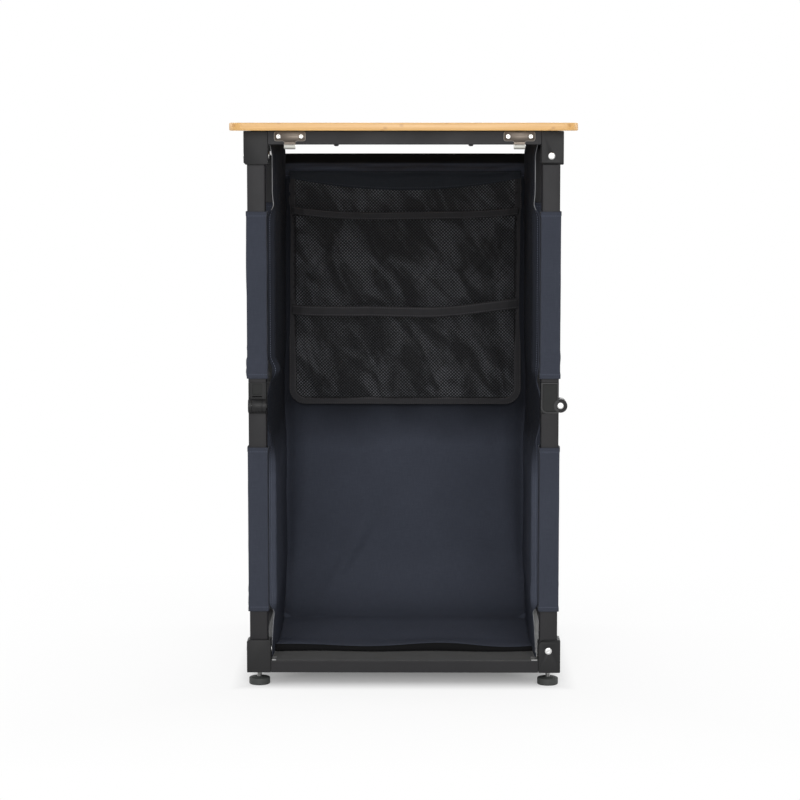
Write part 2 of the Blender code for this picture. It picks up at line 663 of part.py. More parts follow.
def rear_wall_mesh():
    """The rear wall, which bends forward at its foot into the cloth floor and ends in a hem on the shelf."""
    hem_y = rail_front_y + HEM_SETBACK
    bend_y, bend_z = cloth_half - FLOOR_BEND_RADIUS, cloth_floor_z + FLOOR_BEND_RADIUS
    floor_run, bend_run = bend_y - hem_y, FLOOR_BEND_RADIUS * math.pi / 2
    wall_run = rear_wall_top - bend_z
    whole = floor_run + bend_run + wall_run
    side_gap = CLOTH_THICKNESS / 2 + CLOTH_CORNER_GAP

    def profile(run):
        """The (y, z) of the sheet's middle at a distance from the front hem."""
        if run < floor_run:
            return hem_y + run, cloth_floor_z
        if run < floor_run + bend_run:
            turn = (run - floor_run) / FLOOR_BEND_RADIUS
            return bend_y + FLOOR_BEND_RADIUS * math.sin(turn), bend_z - FLOOR_BEND_RADIUS * math.cos(turn)
        return cloth_half, bend_z + run - floor_run - bend_run

    def point_of(across, along):
        run = along * whole
        y, z = profile(run)
        x = (2 * across - 1) * (cloth_half - wall_inset(min(y, side_wall_rear_y), z) - side_gap)
        lift = HEM_LIFT / 2 * (1 - math.cos(math.tau * HEM_LIFTS * across)) * max(0.0, 1 - run / floor_run)
        roll = HEM_ROLL_DEPTH * math.sin(math.pi * across)
        roll *= bump(z, rear_wall_top - HEM_ROLL_DROP, HEM_ROLL_HALF_HEIGHT)
        return Vector((x, y - roll, z + lift))

    return cloth_mesh(REAR_COLUMNS, REAR_ROWS, point_of)


def pocket_mesh(low_z, high_z, seam_shares, back_y):
    """A row of pockets: a sheet that bulges off the panel between its seams, open at its top."""
    half = organiser_half - ORGANISER_BINDING / 2
    seams = (0, *seam_shares, 1)
    spans = len(seams) - 1

    def point_of(across, along):
        span = min(int(across * spans), spans - 1)
        local = across * spans - span
        x = 2 * half * (seams[span] + (seams[span + 1] - seams[span]) * local) - half
        height = (high_z - low_z) * along
        swell = POCKET_SEAM_DEPTH + (POCKET_DEPTH - POCKET_SEAM_DEPTH) * math.sin(math.pi * local)
        rise = math.sin(math.pi / 2 * min(1.0, height / POCKET_RISE))
        side = min(1.0, (half - abs(x)) / POCKET_SIDE_RUN)
        return Vector((x, back_y + ORGANISER_THICKNESS / 2 - swell * rise * side, low_z + height))

    return cloth_mesh(POCKET_SPAN_COLUMNS * spans, POCKET_ROWS, point_of, POCKET_WALL)


def organiser_mesh():
    """The mesh organiser: a bound back panel with two rows of pockets, open at their tops."""
    panel_back = cloth_half - CLOTH_THICKNESS / 2 - SEAT_GAP
    panel_front = panel_back - ORGANISER_THICKNESS
    corner = ORGANISER_CORNER_RADIUS
    outline = rounded((-organiser_half, organiser_low), (organiser_half, organiser_top),
                      [corner, corner, 0, 0], EAR_STEPS)
    panel = prism(outline, "Y", panel_front, panel_back)
    lower = pocket_mesh(organiser_low + ORGANISER_BINDING / 2, organiser_low + LOWER_POCKET_TOP_RISE,
                        LOWER_SEAM_SHARES, panel_front)
    upper = pocket_mesh(organiser_low + UPPER_POCKET_LOW_RISE, organiser_low + UPPER_POCKET_TOP_RISE,
                        UPPER_SEAM_SHARES, panel_front)
    return joined(panel, lower, upper)


def build():
    clear_scene()
    finish = {name: new_material(name) for name in FINISHES}

    place("tabletop", tabletop_mesh(), finish["bamboo"])
    top_rail, base_rail = top_rail_mesh(), base_rail_mesh()
    for side, degrees in SIDE_TURNS.items():
        place("top_rail_" + side, top_rail, finish["black_metal"], degrees)
        place("base_rail_" + side, base_rail, finish["black_metal"], degrees)

    corner_pieces = {
        "top_corner": (top_corner_mesh(), "black_plastic", None),
        "top_pivot_pin": (headed_pin((leg_x, top_pivot_z), block_half), "steel", None),
        "base_corner": (base_corner_mesh(), "black_plastic", None),
        "base_pivot_pin": (headed_pin((leg_x, base_pivot_z), block_half), "steel", None),
        "foot": (foot_mesh(), "foot_rubber", None),
        "lower_leg_tube": (tube_mesh(base_pivot_z, lower_tube_top), "black_metal", "base_pivot"),
        "lower_sleeve": (sleeve_mesh(base_pivot_z + LOWER_SLEEVE_RISE), "navy_cloth", "base_pivot"),
        "knee_lower_fitting": (knee_lower_mesh(), "black_plastic", "base_pivot"),
        "upper_leg_tube": (tube_mesh(top_pivot_z, upper_tube_low), "black_metal", "knee"),
        "upper_sleeve": (sleeve_mesh(knee_z + UPPER_SLEEVE_RISE), "navy_cloth", "knee"),
        "knee_upper_fitting": (knee_upper_mesh(), "black_plastic", "knee"),
    }
    for corner, degrees in CORNER_TURNS.items():
        pivots = {
            "base_pivot": pivot_empty("base_pivot_" + corner, (leg_x, leg_y, base_pivot_z), degrees),
            "knee": pivot_empty("knee_" + corner, (knee_x, leg_y, knee_z), degrees),
        }
        for name, (mesh, colour, pivot) in corner_pieces.items():
            place(name + "_" + corner, mesh, finish[colour], degrees, pivots.get(pivot))

    place("base_shelf", shelf_mesh(), finish["shelf_board"])
    plate_x = {"left": rail_low_x - SEAT_GAP + PLATE_INSET, "right": rail_high_x + SEAT_GAP - PLATE_INSET}
    for side, middle_x in plate_x.items():
        place("hook_plate_" + side, hook_plate_mesh(middle_x), finish["satin_plate"])
    for side, sign in (("left", -1), ("right", 1)):
        place("side_wall_" + side, side_wall_mesh(sign), finish["navy_cloth"])
    place("rear_wall", rear_wall_mesh(), finish["navy_cloth"])
    place("organiser", organiser_mesh(), finish["black_mesh"])


build()
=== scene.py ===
"""Folding camping cabinet dressed for the render: finer hard parts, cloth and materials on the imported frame.

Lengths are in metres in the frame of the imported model, and the sizes repeat those of the part's source.
Everything at a corner is made once at the front right corner and turned about Z for the other three.
"""
import math

import bmesh
import bpy
from mathutils import Matrix, Vector, noise


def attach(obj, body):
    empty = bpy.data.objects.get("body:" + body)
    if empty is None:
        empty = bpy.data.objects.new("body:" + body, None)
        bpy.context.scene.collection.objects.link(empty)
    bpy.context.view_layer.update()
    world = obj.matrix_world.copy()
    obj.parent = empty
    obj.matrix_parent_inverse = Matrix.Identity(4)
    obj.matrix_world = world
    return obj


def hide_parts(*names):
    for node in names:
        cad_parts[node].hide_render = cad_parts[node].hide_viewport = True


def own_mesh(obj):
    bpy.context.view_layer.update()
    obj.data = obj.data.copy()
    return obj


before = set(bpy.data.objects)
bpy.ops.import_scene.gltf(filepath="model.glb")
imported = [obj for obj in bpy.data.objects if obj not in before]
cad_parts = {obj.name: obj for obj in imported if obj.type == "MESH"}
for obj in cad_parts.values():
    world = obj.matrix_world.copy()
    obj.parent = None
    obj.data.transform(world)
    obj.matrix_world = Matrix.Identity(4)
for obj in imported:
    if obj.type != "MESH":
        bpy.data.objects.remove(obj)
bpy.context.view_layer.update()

CORNER_TURNS = {"fr": 0, "rr": 90, "rl": 180, "fl": 270}

# Sizes from the part's source
TOP_SIDE, TOP_THICKNESS, TOP_CORNER, TOP_EDGE = 0.480, 0.011, 0.018, 0.002
HEIGHT = 0.790
LEG_X, LEG_Y = 0.204, -0.204
TUBE_HALF, TUBE_WALL, TUBE_CORNER = 0.0125, 0.0015, 0.0018
BASE_PIVOT_Z, KNEE_Z, TOP_PIVOT_Z, KNEE_X = 0.0504, 0.3974, 0.7444, 0.219
FRAME_TOP_Z, BASE_UNDERSIDE = 0.7787, 0.0189
BLOCK_IN_X, BLOCK_OUT_X, BLOCK_HALF, CHANNEL_HALF = 0.190, 0.2208, 0.0168, 0.0128
BASE_EAR_TOP, BASE_EAR_R, TOP_BLOCK_LOW, TOP_EAR_R, BLOCK_LIP = 0.0658, 0.0095, 0.7323, 0.005, 0.0015
CHANNEL_REACH, SPIGOT = 0.0135, 0.018
RAIL_FRONT_Y, RAIL_BACK_Y, RAIL_WALL, TOP_RAIL_H, BASE_TUBE_TOP = -0.2195, -0.1995, 0.0018, 0.0188, 0.0292
RAIL_LOW_X, RAIL_HIGH_X, PLATE_INSET = -0.1869, 0.1897, 0.0305
PIN_R, HEAD_R, HEAD_H = 0.003, 0.0049, 0.0012
KNUCKLE_R, KNUCKLE_LEN, CHEEK_DROP, CHEEK_R, CHEEK_WALL = 0.0095, 0.014, 0.0108, 0.009, 0.0017
FITTING_TOP, UPPER_TUBE_LOW, LOWER_TUBE_TOP = 0.4304, 0.4307, 0.3863
RIM, PLUG_HALF, PLUG_LEN, EAR_GAP, KNUCKLE_GAP = 0.0022, 0.0104, 0.030, 0.0004, 0.0005
CLOTH_HALF, CLOTH_FLOOR_Z, WALL_REAR_Y = 0.189, 0.0347, 0.1866
SIDE_WALL_TOP, REAR_WALL_TOP, HEM_Y = 0.770, 0.7434, -0.1465
ORG_HALF, ORG_LOW, ORG_TOP = 0.180, 0.355, 0.712
SLEEVE_LENGTH, SLEEVE_LOW = 0.2324, {"lower": 0.1064, "upper": 0.4354}
GAP = 0.0003
PIN_BORE = PIN_R + GAP
CUT_PAST = 0.004  # how far a cutting shape reaches past the surface it cuts
THROUGH = 2 * TUBE_HALF  # a reach from the leg's middle line that is past all its faces

# Sizes of the scene's own: finer form, and cloth that is thinner or softer than its solid
EAR_SLANT, GROOVE, GROOVE_DEPTH, CHEEK_RECESS = 0.007, 0.0011, 0.0016, 0.0008
PANEL_HALF, PANEL_LOW, PANEL_HIGH, PANEL_DEPTH = 0.007, 0.0156, 0.0310, 0.0020
KNEE_GRIP = TUBE_HALF - HEAD_H - 0.0002  # the knee pin's heads are sunk
SLEEVE_HALF, SLEEVE_WALL, CLOTH, BEND_R, ORG_CORNER = 0.0138, 0.0009, 0.0014, 0.095, 0.026


# Materials
def node(tree, kind, inputs=None, **settings):
    """A new node, whose inputs are numbers, colours or other nodes' outputs. Returns its outputs."""
    made = tree.nodes.new("ShaderNode" + kind)
    for key, value in settings.items():
        setattr(made, key, value)
    for key, value in (inputs or {}).items():
        if isinstance(value, bpy.types.NodeSocket):
            tree.links.new(value, made.inputs[key])
        else:
            made.inputs[key].default_value = value
    return made.outputs


def tint(colour, share=1.0):
    """A colour made lighter or darker, with its alpha."""
    return (*[c * share for c in colour], 1)


class Paint:
    """A Principled material that is built up node by node."""

    def __init__(self, name, roughness, metallic=0.0, **constants):
        self.material = bpy.data.materials.new(name)
        self.material.use_nodes = True
        self.tree = self.material.node_tree
        self.shader = self.tree.nodes["Principled BSDF"]
        for key, value in {"Roughness": roughness, "Metallic": metallic, **constants}.items():
            self.shader.inputs[key.replace("_", " ")].default_value = value

    def node(self, kind, inputs=None, **settings):
        return node(self.tree, kind, inputs, **settings)

    def math(self, operation, first, second=0.0):
        return self.node("Math", {0: first, 1: second}, operation=operation)[0]

    def plus(self, first, second):
        return self.math("ADD", first, second)

    def times(self, first, second):
        return self.math("MULTIPLY", first, second)

    def over(self, first, second):
        return self.math("DIVIDE", first, second)

    def gap(self, first, second):
        """How far two values are apart."""
        return self.math("ABSOLUTE", self.math("SUBTRACT", first, second))

    def off_middle(self, value):
        """How far a value lies from the middle of its unit step, 0 to 0.5."""
        return self.gap(self.math("FRACT", value), 0.5)

    def mix(self, share, first, second):
        """Blends two colours."""
        return self.node("Mix", {0: share, 6: first, 7: second}, data_type="RGBA")[2]

    def spread(self, value, low, high, to_low=0.0, to_high=1.0):
        """Maps a value to another range, held at its ends."""
        return self.node("MapRange", {"Value": value, "From Min": low, "From Max": high,
                                      "To Min": to_low, "To Max": to_high})[0]

    def place(self):
        return self.node("TexCoord")[3]

    def split(self, vector):
        return self.node("SeparateXYZ", {0: vector})

    def scaled(self, vector, scale):
        return self.node("Mapping", {"Vector": vector, "Scale": scale})[0]

    def noise(self, scale, detail=3.0, vector=None, roughness=0.5):
        vector = self.place() if vector is None else vector
        inputs = {"Vector": vector, "Scale": scale, "Detail": detail, "Roughness": roughness}
        return self.node("TexNoise", inputs)[0]

    def bump(self, height, distance, strength, after=None):
        before = {} if after is None else {"Normal": after}
        return self.node("Bump", {"Height": height, "Distance": distance, "Strength": strength, **before})[0]

    def use(self, socket, value):
        self.tree.links.new(value, self.shader.inputs[socket])


def bamboo():
    """Laminated bamboo strips along X, each with its own tone, grain and growth nodes."""
    strip_width, strip_thickness, node_spacing = 0.0205, 0.0037, 0.23
    paint = Paint("bamboo_strips", 0.42, Coat_Weight=0.12, Coat_Roughness=0.25)
    x, y, z = paint.split(paint.place())
    across = paint.over(y, strip_width)
    layer = paint.math("FLOOR", paint.over(z, strip_thickness))
    strip = paint.plus(paint.math("FLOOR", across), paint.times(layer, 7.3))
    tone = paint.node("TexWhiteNoise", {"W": strip}, noise_dimensions="1D")[0]
    shifted = paint.plus(x, paint.times(tone, 0.9))

    def streaks(along, aside, detail, roughness):
        place = {0: paint.times(shifted, along), 1: paint.times(y, aside), 2: paint.times(z, aside)}
        return paint.noise(1.0, detail, paint.node("CombineXYZ", place)[0], roughness)

    grain, fibre = streaks(7.0, 420.0, 4.0, 0.6), streaks(30.0, 1800.0, 2.0, 0.5)
    knot = paint.spread(paint.off_middle(paint.over(shifted, node_spacing)), 0.004, 0.016, 1.0, 0.0)
    joint = paint.spread(paint.off_middle(across), 0.484, 0.497)
    colour = paint.mix(paint.spread(tone, 0.0, 1.0), (0.675, 0.383, 0.127, 1), (0.765, 0.471, 0.176, 1))
    for share, shade in ((paint.spread(grain, 0.35, 0.75, 0.0, 0.45), (0.56, 0.29, 0.091, 1)),
                         (paint.spread(fibre, 0.5, 0.85, 0.0, 0.25), (0.82, 0.563, 0.245, 1)),
                         (paint.times(knot, 0.5), (0.45, 0.22, 0.075, 1)),
                         (paint.times(joint, 0.45), (0.40, 0.20, 0.07, 1))):
        colour = paint.mix(share, colour, shade)
    paint.use("Base Color", colour)
    paint.use("Roughness", paint.spread(grain, 0.3, 0.8, 0.36, 0.52))
    paint.use("Normal", paint.bump(paint.math("SUBTRACT", paint.times(grain, 0.3), joint), 0.00012, 0.5))
    return paint.material


def coated(name, colour, roughness, grit, depth, specular=0.2):
    """A coated or moulded surface: fine grit, faint cloudiness and lighter wear in patches."""
    paint = Paint(name, roughness, Specular_IOR_Level=specular)
    fine, cloud = paint.noise(grit, 2.0), paint.noise(22.0, 4.0)
    wear = paint.spread(paint.noise(130.0, 6.0, roughness=0.7), 0.66, 0.80)
    shade = paint.mix(paint.spread(cloud, 0.3, 0.7, 0.0, 0.35), tint(colour), tint(colour, 0.72))
    paint.use("Base Color", paint.mix(paint.times(wear, 0.25), shade, (0.10, 0.10, 0.10, 1)))
    rough = paint.spread(paint.plus(fine, cloud), 0.6, 1.4, roughness - 0.07, roughness + 0.09)
    paint.use("Roughness", rough)
    paint.use("Normal", paint.bump(fine, depth, 0.6))
    return paint.material


def bare_metal(name, colour, roughness, lines):
    """Brushed or turned metal, with fine lines and slight stains."""
    paint = Paint(name, roughness, 1.0)
    brushed = paint.noise(1.0, 3.0, paint.scaled(paint.place(), (12.0, 12.0, 900.0)))
    stain = paint.spread(paint.noise(90.0, 4.0), 0.45, 0.75, 0.0, 0.4)
    paint.use("Base Color", paint.mix(stain, tint(colour), tint(colour, 0.75)))
    paint.use("Roughness", paint.spread(brushed, 0.3, 0.7, roughness - 0.06, roughness + 0.1))
    paint.use("Normal", paint.bump(brushed, lines, 0.4))
    return paint.material


def woven(name, colour, pitch, stitches=(), stitch_axis=1, sheen=0.0, patches=0.0, dark_bands=(), painted_floor_light=None,
          lining=None):
    """Plain weave on UVs that are in metres, with slub, faint fading and rows of stitches at given places.

    Patches are painted shade, for the darker zones of a folded mesh; dark_bands are near-black strips along V;
    painted_floor_light is painted light, a paler foot along V; a lining (darkness, top) is painted shade, a
    darker tone between the middle of the wall and the height top.
    """
    paint = Paint(name, 0.9, Sheen_Weight=sheen, Sheen_Roughness=0.5, Specular_IOR_Level=0.12)
    uv = paint.node("TexCoord")[2]
    u, v, _ = paint.split(uv)
    over = paint.times(*[paint.math("SINE", paint.times(along, math.tau / pitch)) for along in (u, v)])
    slub, slub_across = (paint.noise(1.0, 3.0, paint.scaled(uv, scale))
                         for scale in ((900.0, 60.0, 1.0), (60.0, 900.0, 1.0)))
    dark = tint(colour, 0.72)
    shade = paint.mix(paint.spread(over, -1.0, 1.0, 0.1, 0.9), dark, tint(colour, 1.22))
    shade = paint.mix(paint.spread(paint.plus(slub, slub_across), 0.8, 1.3, 0.0, 0.35), shade,
                      tint(colour, 1.45))
    shade = paint.mix(paint.spread(paint.noise(14.0, 4.0), 0.35, 0.7, 0.0, 0.25), shade, dark)
    # painted shade: slanted dark patches on the cloth behind the mesh stand in for the shade of the mesh's
    # folds
    if patches:
        slant = paint.node("Mapping", {"Vector": uv, "Rotation": (0.0, 0.0, 0.6),
                                       "Scale": (0.030, 0.085, 1.0)}, vector_type="TEXTURE")[0]
        cloud = paint.node("TexNoise", {"Vector": slant, "Scale": 1.0, "Detail": 4.0, "Distortion": 0.9})[0]
        shade = paint.mix(paint.spread(cloud, 0.40, 0.60, 0.0, patches), shade, tint(colour, 0.2))
    # painted light: the foot of the sheet along V, the cloth floor, is paler
    if painted_floor_light:
        shade = paint.mix(paint.spread(v, painted_floor_light * 0.75, painted_floor_light, 0.60, 0.0), shade, tint(colour, 2.0))
    # painted shade: from about the middle of the wall up to the height top the cloth darkens, with a ragged
    # lower edge like a shadow's
    if lining:
        darkness, top = lining
        height = paint.split(paint.place())[2]
        ragged = paint.plus(height, paint.spread(paint.noise(7.0, 2.0), 0.3, 0.7, -0.014, 0.014))
        share = paint.times(paint.spread(ragged, 0.292, 0.350, 0.0, darkness),
                            paint.spread(height, top, top + 0.012, 1.0, 0.0))
        shade = paint.mix(share, shade, tint(colour, 0.15))
    # near-black bands along V; the one over the hem's fold is painted shade
    for bare, full in dark_bands:
        shade = paint.mix(paint.spread(v, bare, full), shade, (0.007, 0.007, 0.0075, 1))
    normal = paint.bump(paint.plus(over, paint.times(slub, 0.6)), 0.00012, 0.5)
    if stitches:
        place, along = (v, u) if stitch_axis == 1 else (u, v)
        row = None
        for value in stitches:
            near = paint.spread(paint.gap(place, value), 0.00035, 0.0006, 1.0, 0.0)
            row = near if row is None else paint.math("MAXIMUM", row, near)
        dash = paint.spread(paint.off_middle(paint.over(along, STITCH_PITCH)), 0.30, 0.36, 1.0, 0.0)
        stitch = paint.times(row, dash)
        shade = paint.mix(paint.times(stitch, 0.8), shade, tint(colour, 2.0))
        normal = paint.bump(paint.math("SUBTRACT", stitch, row), 0.0004, 0.6, normal)
    paint.use("Base Color", shade)
    paint.use("Normal", normal)
    return paint.material


def threads(name, colour):
    """Thick yarn: lengthwise fuzz and uneven tone."""
    paint = Paint(name, 0.55, Specular_IOR_Level=0.2)
    fuzz = paint.noise(2600.0, 2.0)
    shade = paint.mix(paint.spread(paint.noise(60.0, 4.0), 0.35, 0.7), tint(colour, 0.75), tint(colour, 1.3))
    paint.use("Base Color", paint.mix(paint.spread(fuzz, 0.4, 0.7, 0.0, 0.4), shade, tint(colour, 1.7)))
    paint.use("Normal", paint.bump(fuzz, 0.0001, 0.5))
    return paint.material


NAVY = (0.041, 0.046, 0.062)
WEAVE = 0.0011
STITCH_PITCH = 0.0032
MATERIALS = {
    "bamboo": bamboo(),
    "black_metal": coated("powder_coat", (0.0195, 0.019, 0.0205), 0.46, 2600.0, 0.00008, 0.18),
    "black_plastic": coated("moulded_nylon", (0.0145, 0.0145, 0.015), 0.48, 1800.0, 0.00009),
    # paler and darker copies of the moulded nylon: painted highlight on the knee's rims and painted shade in
    # its recesses
    "painted_highlight_rim": coated("rim_moulding_painted_highlight", (0.034, 0.034, 0.035), 0.42, 1800.0, 0.00009),
    "painted_shade_recess": coated("recess_moulding_painted_shade", (0.0105, 0.0112, 0.0108), 0.48, 1800.0, 0.00009),
    # a paler copy of the plate's metal for its edges: painted highlight
    "edge_of_plate_painted_highlight": bare_metal("edge_of_plate_painted_highlight", (0.42, 0.39, 0.35), 0.3, 0.00001),
    "steel": bare_metal("turned_steel", (0.62, 0.62, 0.61), 0.30, 0.00002),
    "satin_plate": bare_metal("satin_nickel", (0.085, 0.072, 0.061), 0.36, 0.00002),
    # a paler copy of the plate's metal for the tongue's hook: painted highlight
    "tongue_painted_highlight": bare_metal("nickel_painted_highlight", (0.46, 0.455, 0.42), 0.34, 0.00001),
    "shelf_board": coated("board_laminate", (0.150, 0.151, 0.150), 0.50, 900.0, 0.00005),
    "foot_rubber": coated("foot_moulding", (0.055, 0.058, 0.056), 0.6, 1500.0, 0.0001),
    "sleeve_cloth": woven("navy_sleeve", NAVY, WEAVE, (0.006, SLEEVE_LENGTH - 0.006), sheen=0.05),
    "black_mesh": threads("mesh_yarn", (0.0065, 0.0065, 0.007)),
    "piping": threads("edge_piping", (0.21, 0.213, 0.22)),
    "binding": woven("binding_tape", (0.033, 0.0325, 0.035), 0.0014, (0.0016, 0.0088), sheen=0.04),
}


# Mesh helpers
def placed(name, data):
    """An object in the scene's collection."""
    obj = bpy.data.objects.new(name, data)
    bpy.context.collection.objects.link(obj)
    return obj


def meshed(bm, name):
    """A mesh from a bmesh, which is freed."""
    mesh = bpy.data.meshes.new(name)
    bm.to_mesh(mesh)
    bm.free()
    return mesh


def taken(obj):
    """The bmesh of an object, which is removed."""
    bm = bmesh.new()
    bm.from_mesh(obj.data)
    bpy.data.objects.remove(obj, do_unlink=True)
    return bm


def solid(bm, name, material, smooth=35):
    """An object from a bmesh, with its faces pointing out."""
    bmesh.ops.recalc_face_normals(bm, faces=bm.faces)
    mesh = meshed(bm, name)
    mesh.shade_smooth()
    if smooth:
        mesh.set_sharp_from_angle(angle=math.radians(smooth))
    mesh.materials.append(MATERIALS[material])
    return placed(name, mesh)


def about(middle, half):
    """The two ends of a span round its middle."""
    return middle - half, middle + half


def arc(centre, radius, start, end, steps):
    turns = [math.radians(start + (end - start) * i / steps) for i in range(steps + 1)]
    return [(centre[0] + radius * math.cos(t), centre[1] + radius * math.sin(t)) for t in turns]


def circle(centre, radius, steps=40):
    return arc(centre, radius, 0, 360, steps)[:-1]


def rounded(low, high, radii, steps=6):
    """A rectangle with a radius at each corner, from the low corner round by the +first-axis side."""
    outline = []
    corners = (low, (high[0], low[1]), high, (low[0], high[1]))
    for k, (corner, side, radius) in enumerate(zip(corners, ((1, 1), (-1, 1), (-1, -1), (1, -1)), radii)):
        if radius:
            outline += arc((corner[0] + side[0] * radius, corner[1] + side[1] * radius), radius,
                           180 + 90 * k, 270 + 90 * k, steps)
        else:
            outline.append(corner)
    return outline


def in_space(axis, pair, along):
    first, second = pair
    return {"X": (along, first, second), "Y": (first, along, second), "Z": (first, second, along)}[axis]


def prism(outline, axis, low, high, edge=0.0, edge_steps=2):
    """A bmesh: the outline pushed along an axis, with its rims bevelled."""
    bm = bmesh.new()
    face = bm.faces.new([bm.verts.new(in_space(axis, pair, low)) for pair in outline])
    pushed = bmesh.ops.extrude_face_region(bm, geom=[face])
    moved = [item for item in pushed["geom"] if isinstance(item, bmesh.types.BMVert)]
    bmesh.ops.translate(bm, verts=moved, vec=Vector(in_space(axis, (0, 0), high - low)))
    bmesh.ops.recalc_face_normals(bm, faces=bm.faces)
    if edge:
        slot = "XYZ".index(axis)
        rims = [e for e in bm.edges if abs(e.verts[0].co[slot] - e.verts[1].co[slot]) < 1e-5]
        bmesh.ops.bevel(bm, geom=rims, offset=edge, segments=edge_steps, profile=0.5, affect="EDGES",
                        material=-1)
    return bm


def turned(profile, put, steps=40):
    """A bmesh: a profile of (radius, height) points spun about Z, then put in its place."""
    bm = bmesh.new()
    points = [bm.verts.new((radius, 0, height)) for radius, height in profile]
    edges = [bm.edges.new(pair) for pair in zip(points, points[1:])]
    bmesh.ops.spin(bm, geom=points + edges, cent=(0, 0, 0), axis=(0, 0, 1), angle=math.tau, steps=steps,
                   use_merge=True)
    bmesh.ops.remove_doubles(bm, verts=bm.verts, dist=1e-5)
    bmesh.ops.recalc_face_normals(bm, faces=bm.faces)
    bmesh.ops.transform(bm, matrix=put, verts=bm.verts)
    return bm


def rod(radius, centre, low, high, steps=44):
    return prism(circle(centre, radius, steps), "Y", low, high)


def carved(name, material, first, adds=(), cuts=(), bevel=0.0003):
    """An object: the first bmesh with others joined to it and others cut from it, its edges eased."""
    base, *tools = [placed("blank", meshed(bm, "blank")) for bm in (first, *adds, *cuts)]
    for k, tool in enumerate(tools):
        operation = "UNION" if k < len(adds) else "DIFFERENCE"
        modifier = base.modifiers.new(operation, "BOOLEAN")
        modifier.operation, modifier.solver, modifier.object = operation, "EXACT", tool
    if bevel:
        modifier = base.modifiers.new("eased", "BEVEL")
        modifier.width, modifier.segments, modifier.limit_method = bevel, 2, "ANGLE"
        modifier.angle_limit, modifier.use_clamp_overlap = math.radians(50), True
    bpy.context.view_layer.update()
    mesh = bpy.data.meshes.new_from_object(base.evaluated_get(bpy.context.evaluated_depsgraph_get()))
    for obj in (base, *tools):
        bpy.data.objects.remove(obj, do_unlink=True)
    bm = bmesh.new()
    bm.from_mesh(mesh)
    bpy.data.meshes.remove(mesh)
    bmesh.ops.remove_doubles(bm, verts=bm.verts, dist=1e-6)
    return solid(bm, name, material)


def turn(obj, degrees):
    """Turns an object's mesh about Z, so that the object itself stays at the origin."""
    obj.data.transform(Matrix.Rotation(math.radians(degrees), 4, "Z"))
    return obj


def settle(obj, body, slot_name, *nodes):
    """Says which body a piece rides on and which nodes it stands for; slot_name is not used."""
    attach(obj, body)
    if nodes:
        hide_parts(*nodes)
    return obj


def laid(bm, rows, uv_of=None):
    """A grid laid over rows of points, with UVs from uv_of(row, place). Returns each vertex's row."""
    columns, steps = len(rows[0]) - 1, len(rows) - 1
    layer = bm.loops.layers.uv.verify() if uv_of else None
    made = bmesh.ops.create_grid(bm, x_segments=columns, y_segments=steps, size=0.5, calc_uvs=bool(uv_of))
    row_of = {}
    for vert in made["verts"]:
        row, place = round((vert.co.y + 0.5) * steps), round((vert.co.x + 0.5) * columns)
        for loop in vert.link_loops if uv_of else ():
            loop[layer].uv = uv_of(row, place)
        vert.co = rows[row][place]
        row_of[vert] = row
    return row_of


def ring(points):
    """Points round a section, with the first again at the end, where a laid grid closes on itself."""
    return [*points, points[0]]


def sealed(bm):
    """Merges the seams of grids that are laid in rings, and fills their ends."""
    bmesh.ops.remove_doubles(bm, verts=bm.verts, dist=1e-7)
    bmesh.ops.holes_fill(bm, edges=[edge for edge in bm.edges if edge.is_boundary])
    return bm


def at_corners(make, name, slot_name, body, node_name):
    """The same piece at all four corners. The body and the node may hold a * for the corner's name."""
    first = make(name + "_fr")
    for corner, degrees in CORNER_TURNS.items():
        obj = turn(placed(f"{name}_{corner}", first.data.copy()), degrees) if degrees else first
        settle(obj, body.replace("*", corner), slot_name, node_name.replace("*", corner))


# Hard parts
def tabletop():
    """The board, with rounded corners and edges."""
    low, high = about(0, TOP_SIDE / 2)
    bm = prism(rounded((low, low), (high, high), [TOP_CORNER] * 4, 12), "Z", HEIGHT - TOP_THICKNESS,
               HEIGHT, TOP_EDGE, 4)
    return solid(bm, "tabletop_board", "bamboo")


def spigots(low_z, high_z):
    """The two plugs that a corner block holds the rails' ends with."""
    grip = RAIL_WALL + GAP
    plugs = (("X", RAIL_FRONT_Y + grip, RAIL_BACK_Y - grip, BLOCK_IN_X - SPIGOT, BLOCK_IN_X + CUT_PAST),
             ("Y", -RAIL_BACK_Y + grip, -RAIL_FRONT_Y - grip, LEG_Y + CHANNEL_HALF + 0.002,
              LEG_Y + BLOCK_HALF + SPIGOT))
    return [prism(rounded((near, low_z + grip), (far, high_z - grip), [0.0009] * 4, 3), axis, low, high)
            for axis, near, far, low, high in plugs]


def block(name, outline, pivot_z, channel, rail_span, chamfer_z, up):
    """A corner block: an outline seen from the front, with the leg's channel, the pin's bore and chamfer."""
    front = LEG_Y - BLOCK_HALF
    wedge = [(front - CUT_PAST, chamfer_z + up * CUT_PAST), (front - CUT_PAST, chamfer_z - up * EAR_SLANT),
             (front + EAR_SLANT, chamfer_z + up * CUT_PAST)]
    low_y, high_y = about(LEG_Y, CHANNEL_HALF)
    mouth = rounded((BLOCK_IN_X - CUT_PAST, low_y), (LEG_X + CHANNEL_HALF, high_y),
                    [0, 0.0008, 0.0008, 0], 3)
    cuts = [prism(mouth, "Z", *channel),
            rod(PIN_BORE, (LEG_X, pivot_z), *about(LEG_Y, BLOCK_HALF + CUT_PAST), 32),
            prism(wedge, "X", BLOCK_IN_X - CUT_PAST, BLOCK_OUT_X + CUT_PAST)]
    return carved(name, "black_plastic", prism(outline, "Y", *about(LEG_Y, BLOCK_HALF), 0.0007, 3),
                  spigots(*rail_span), cuts)


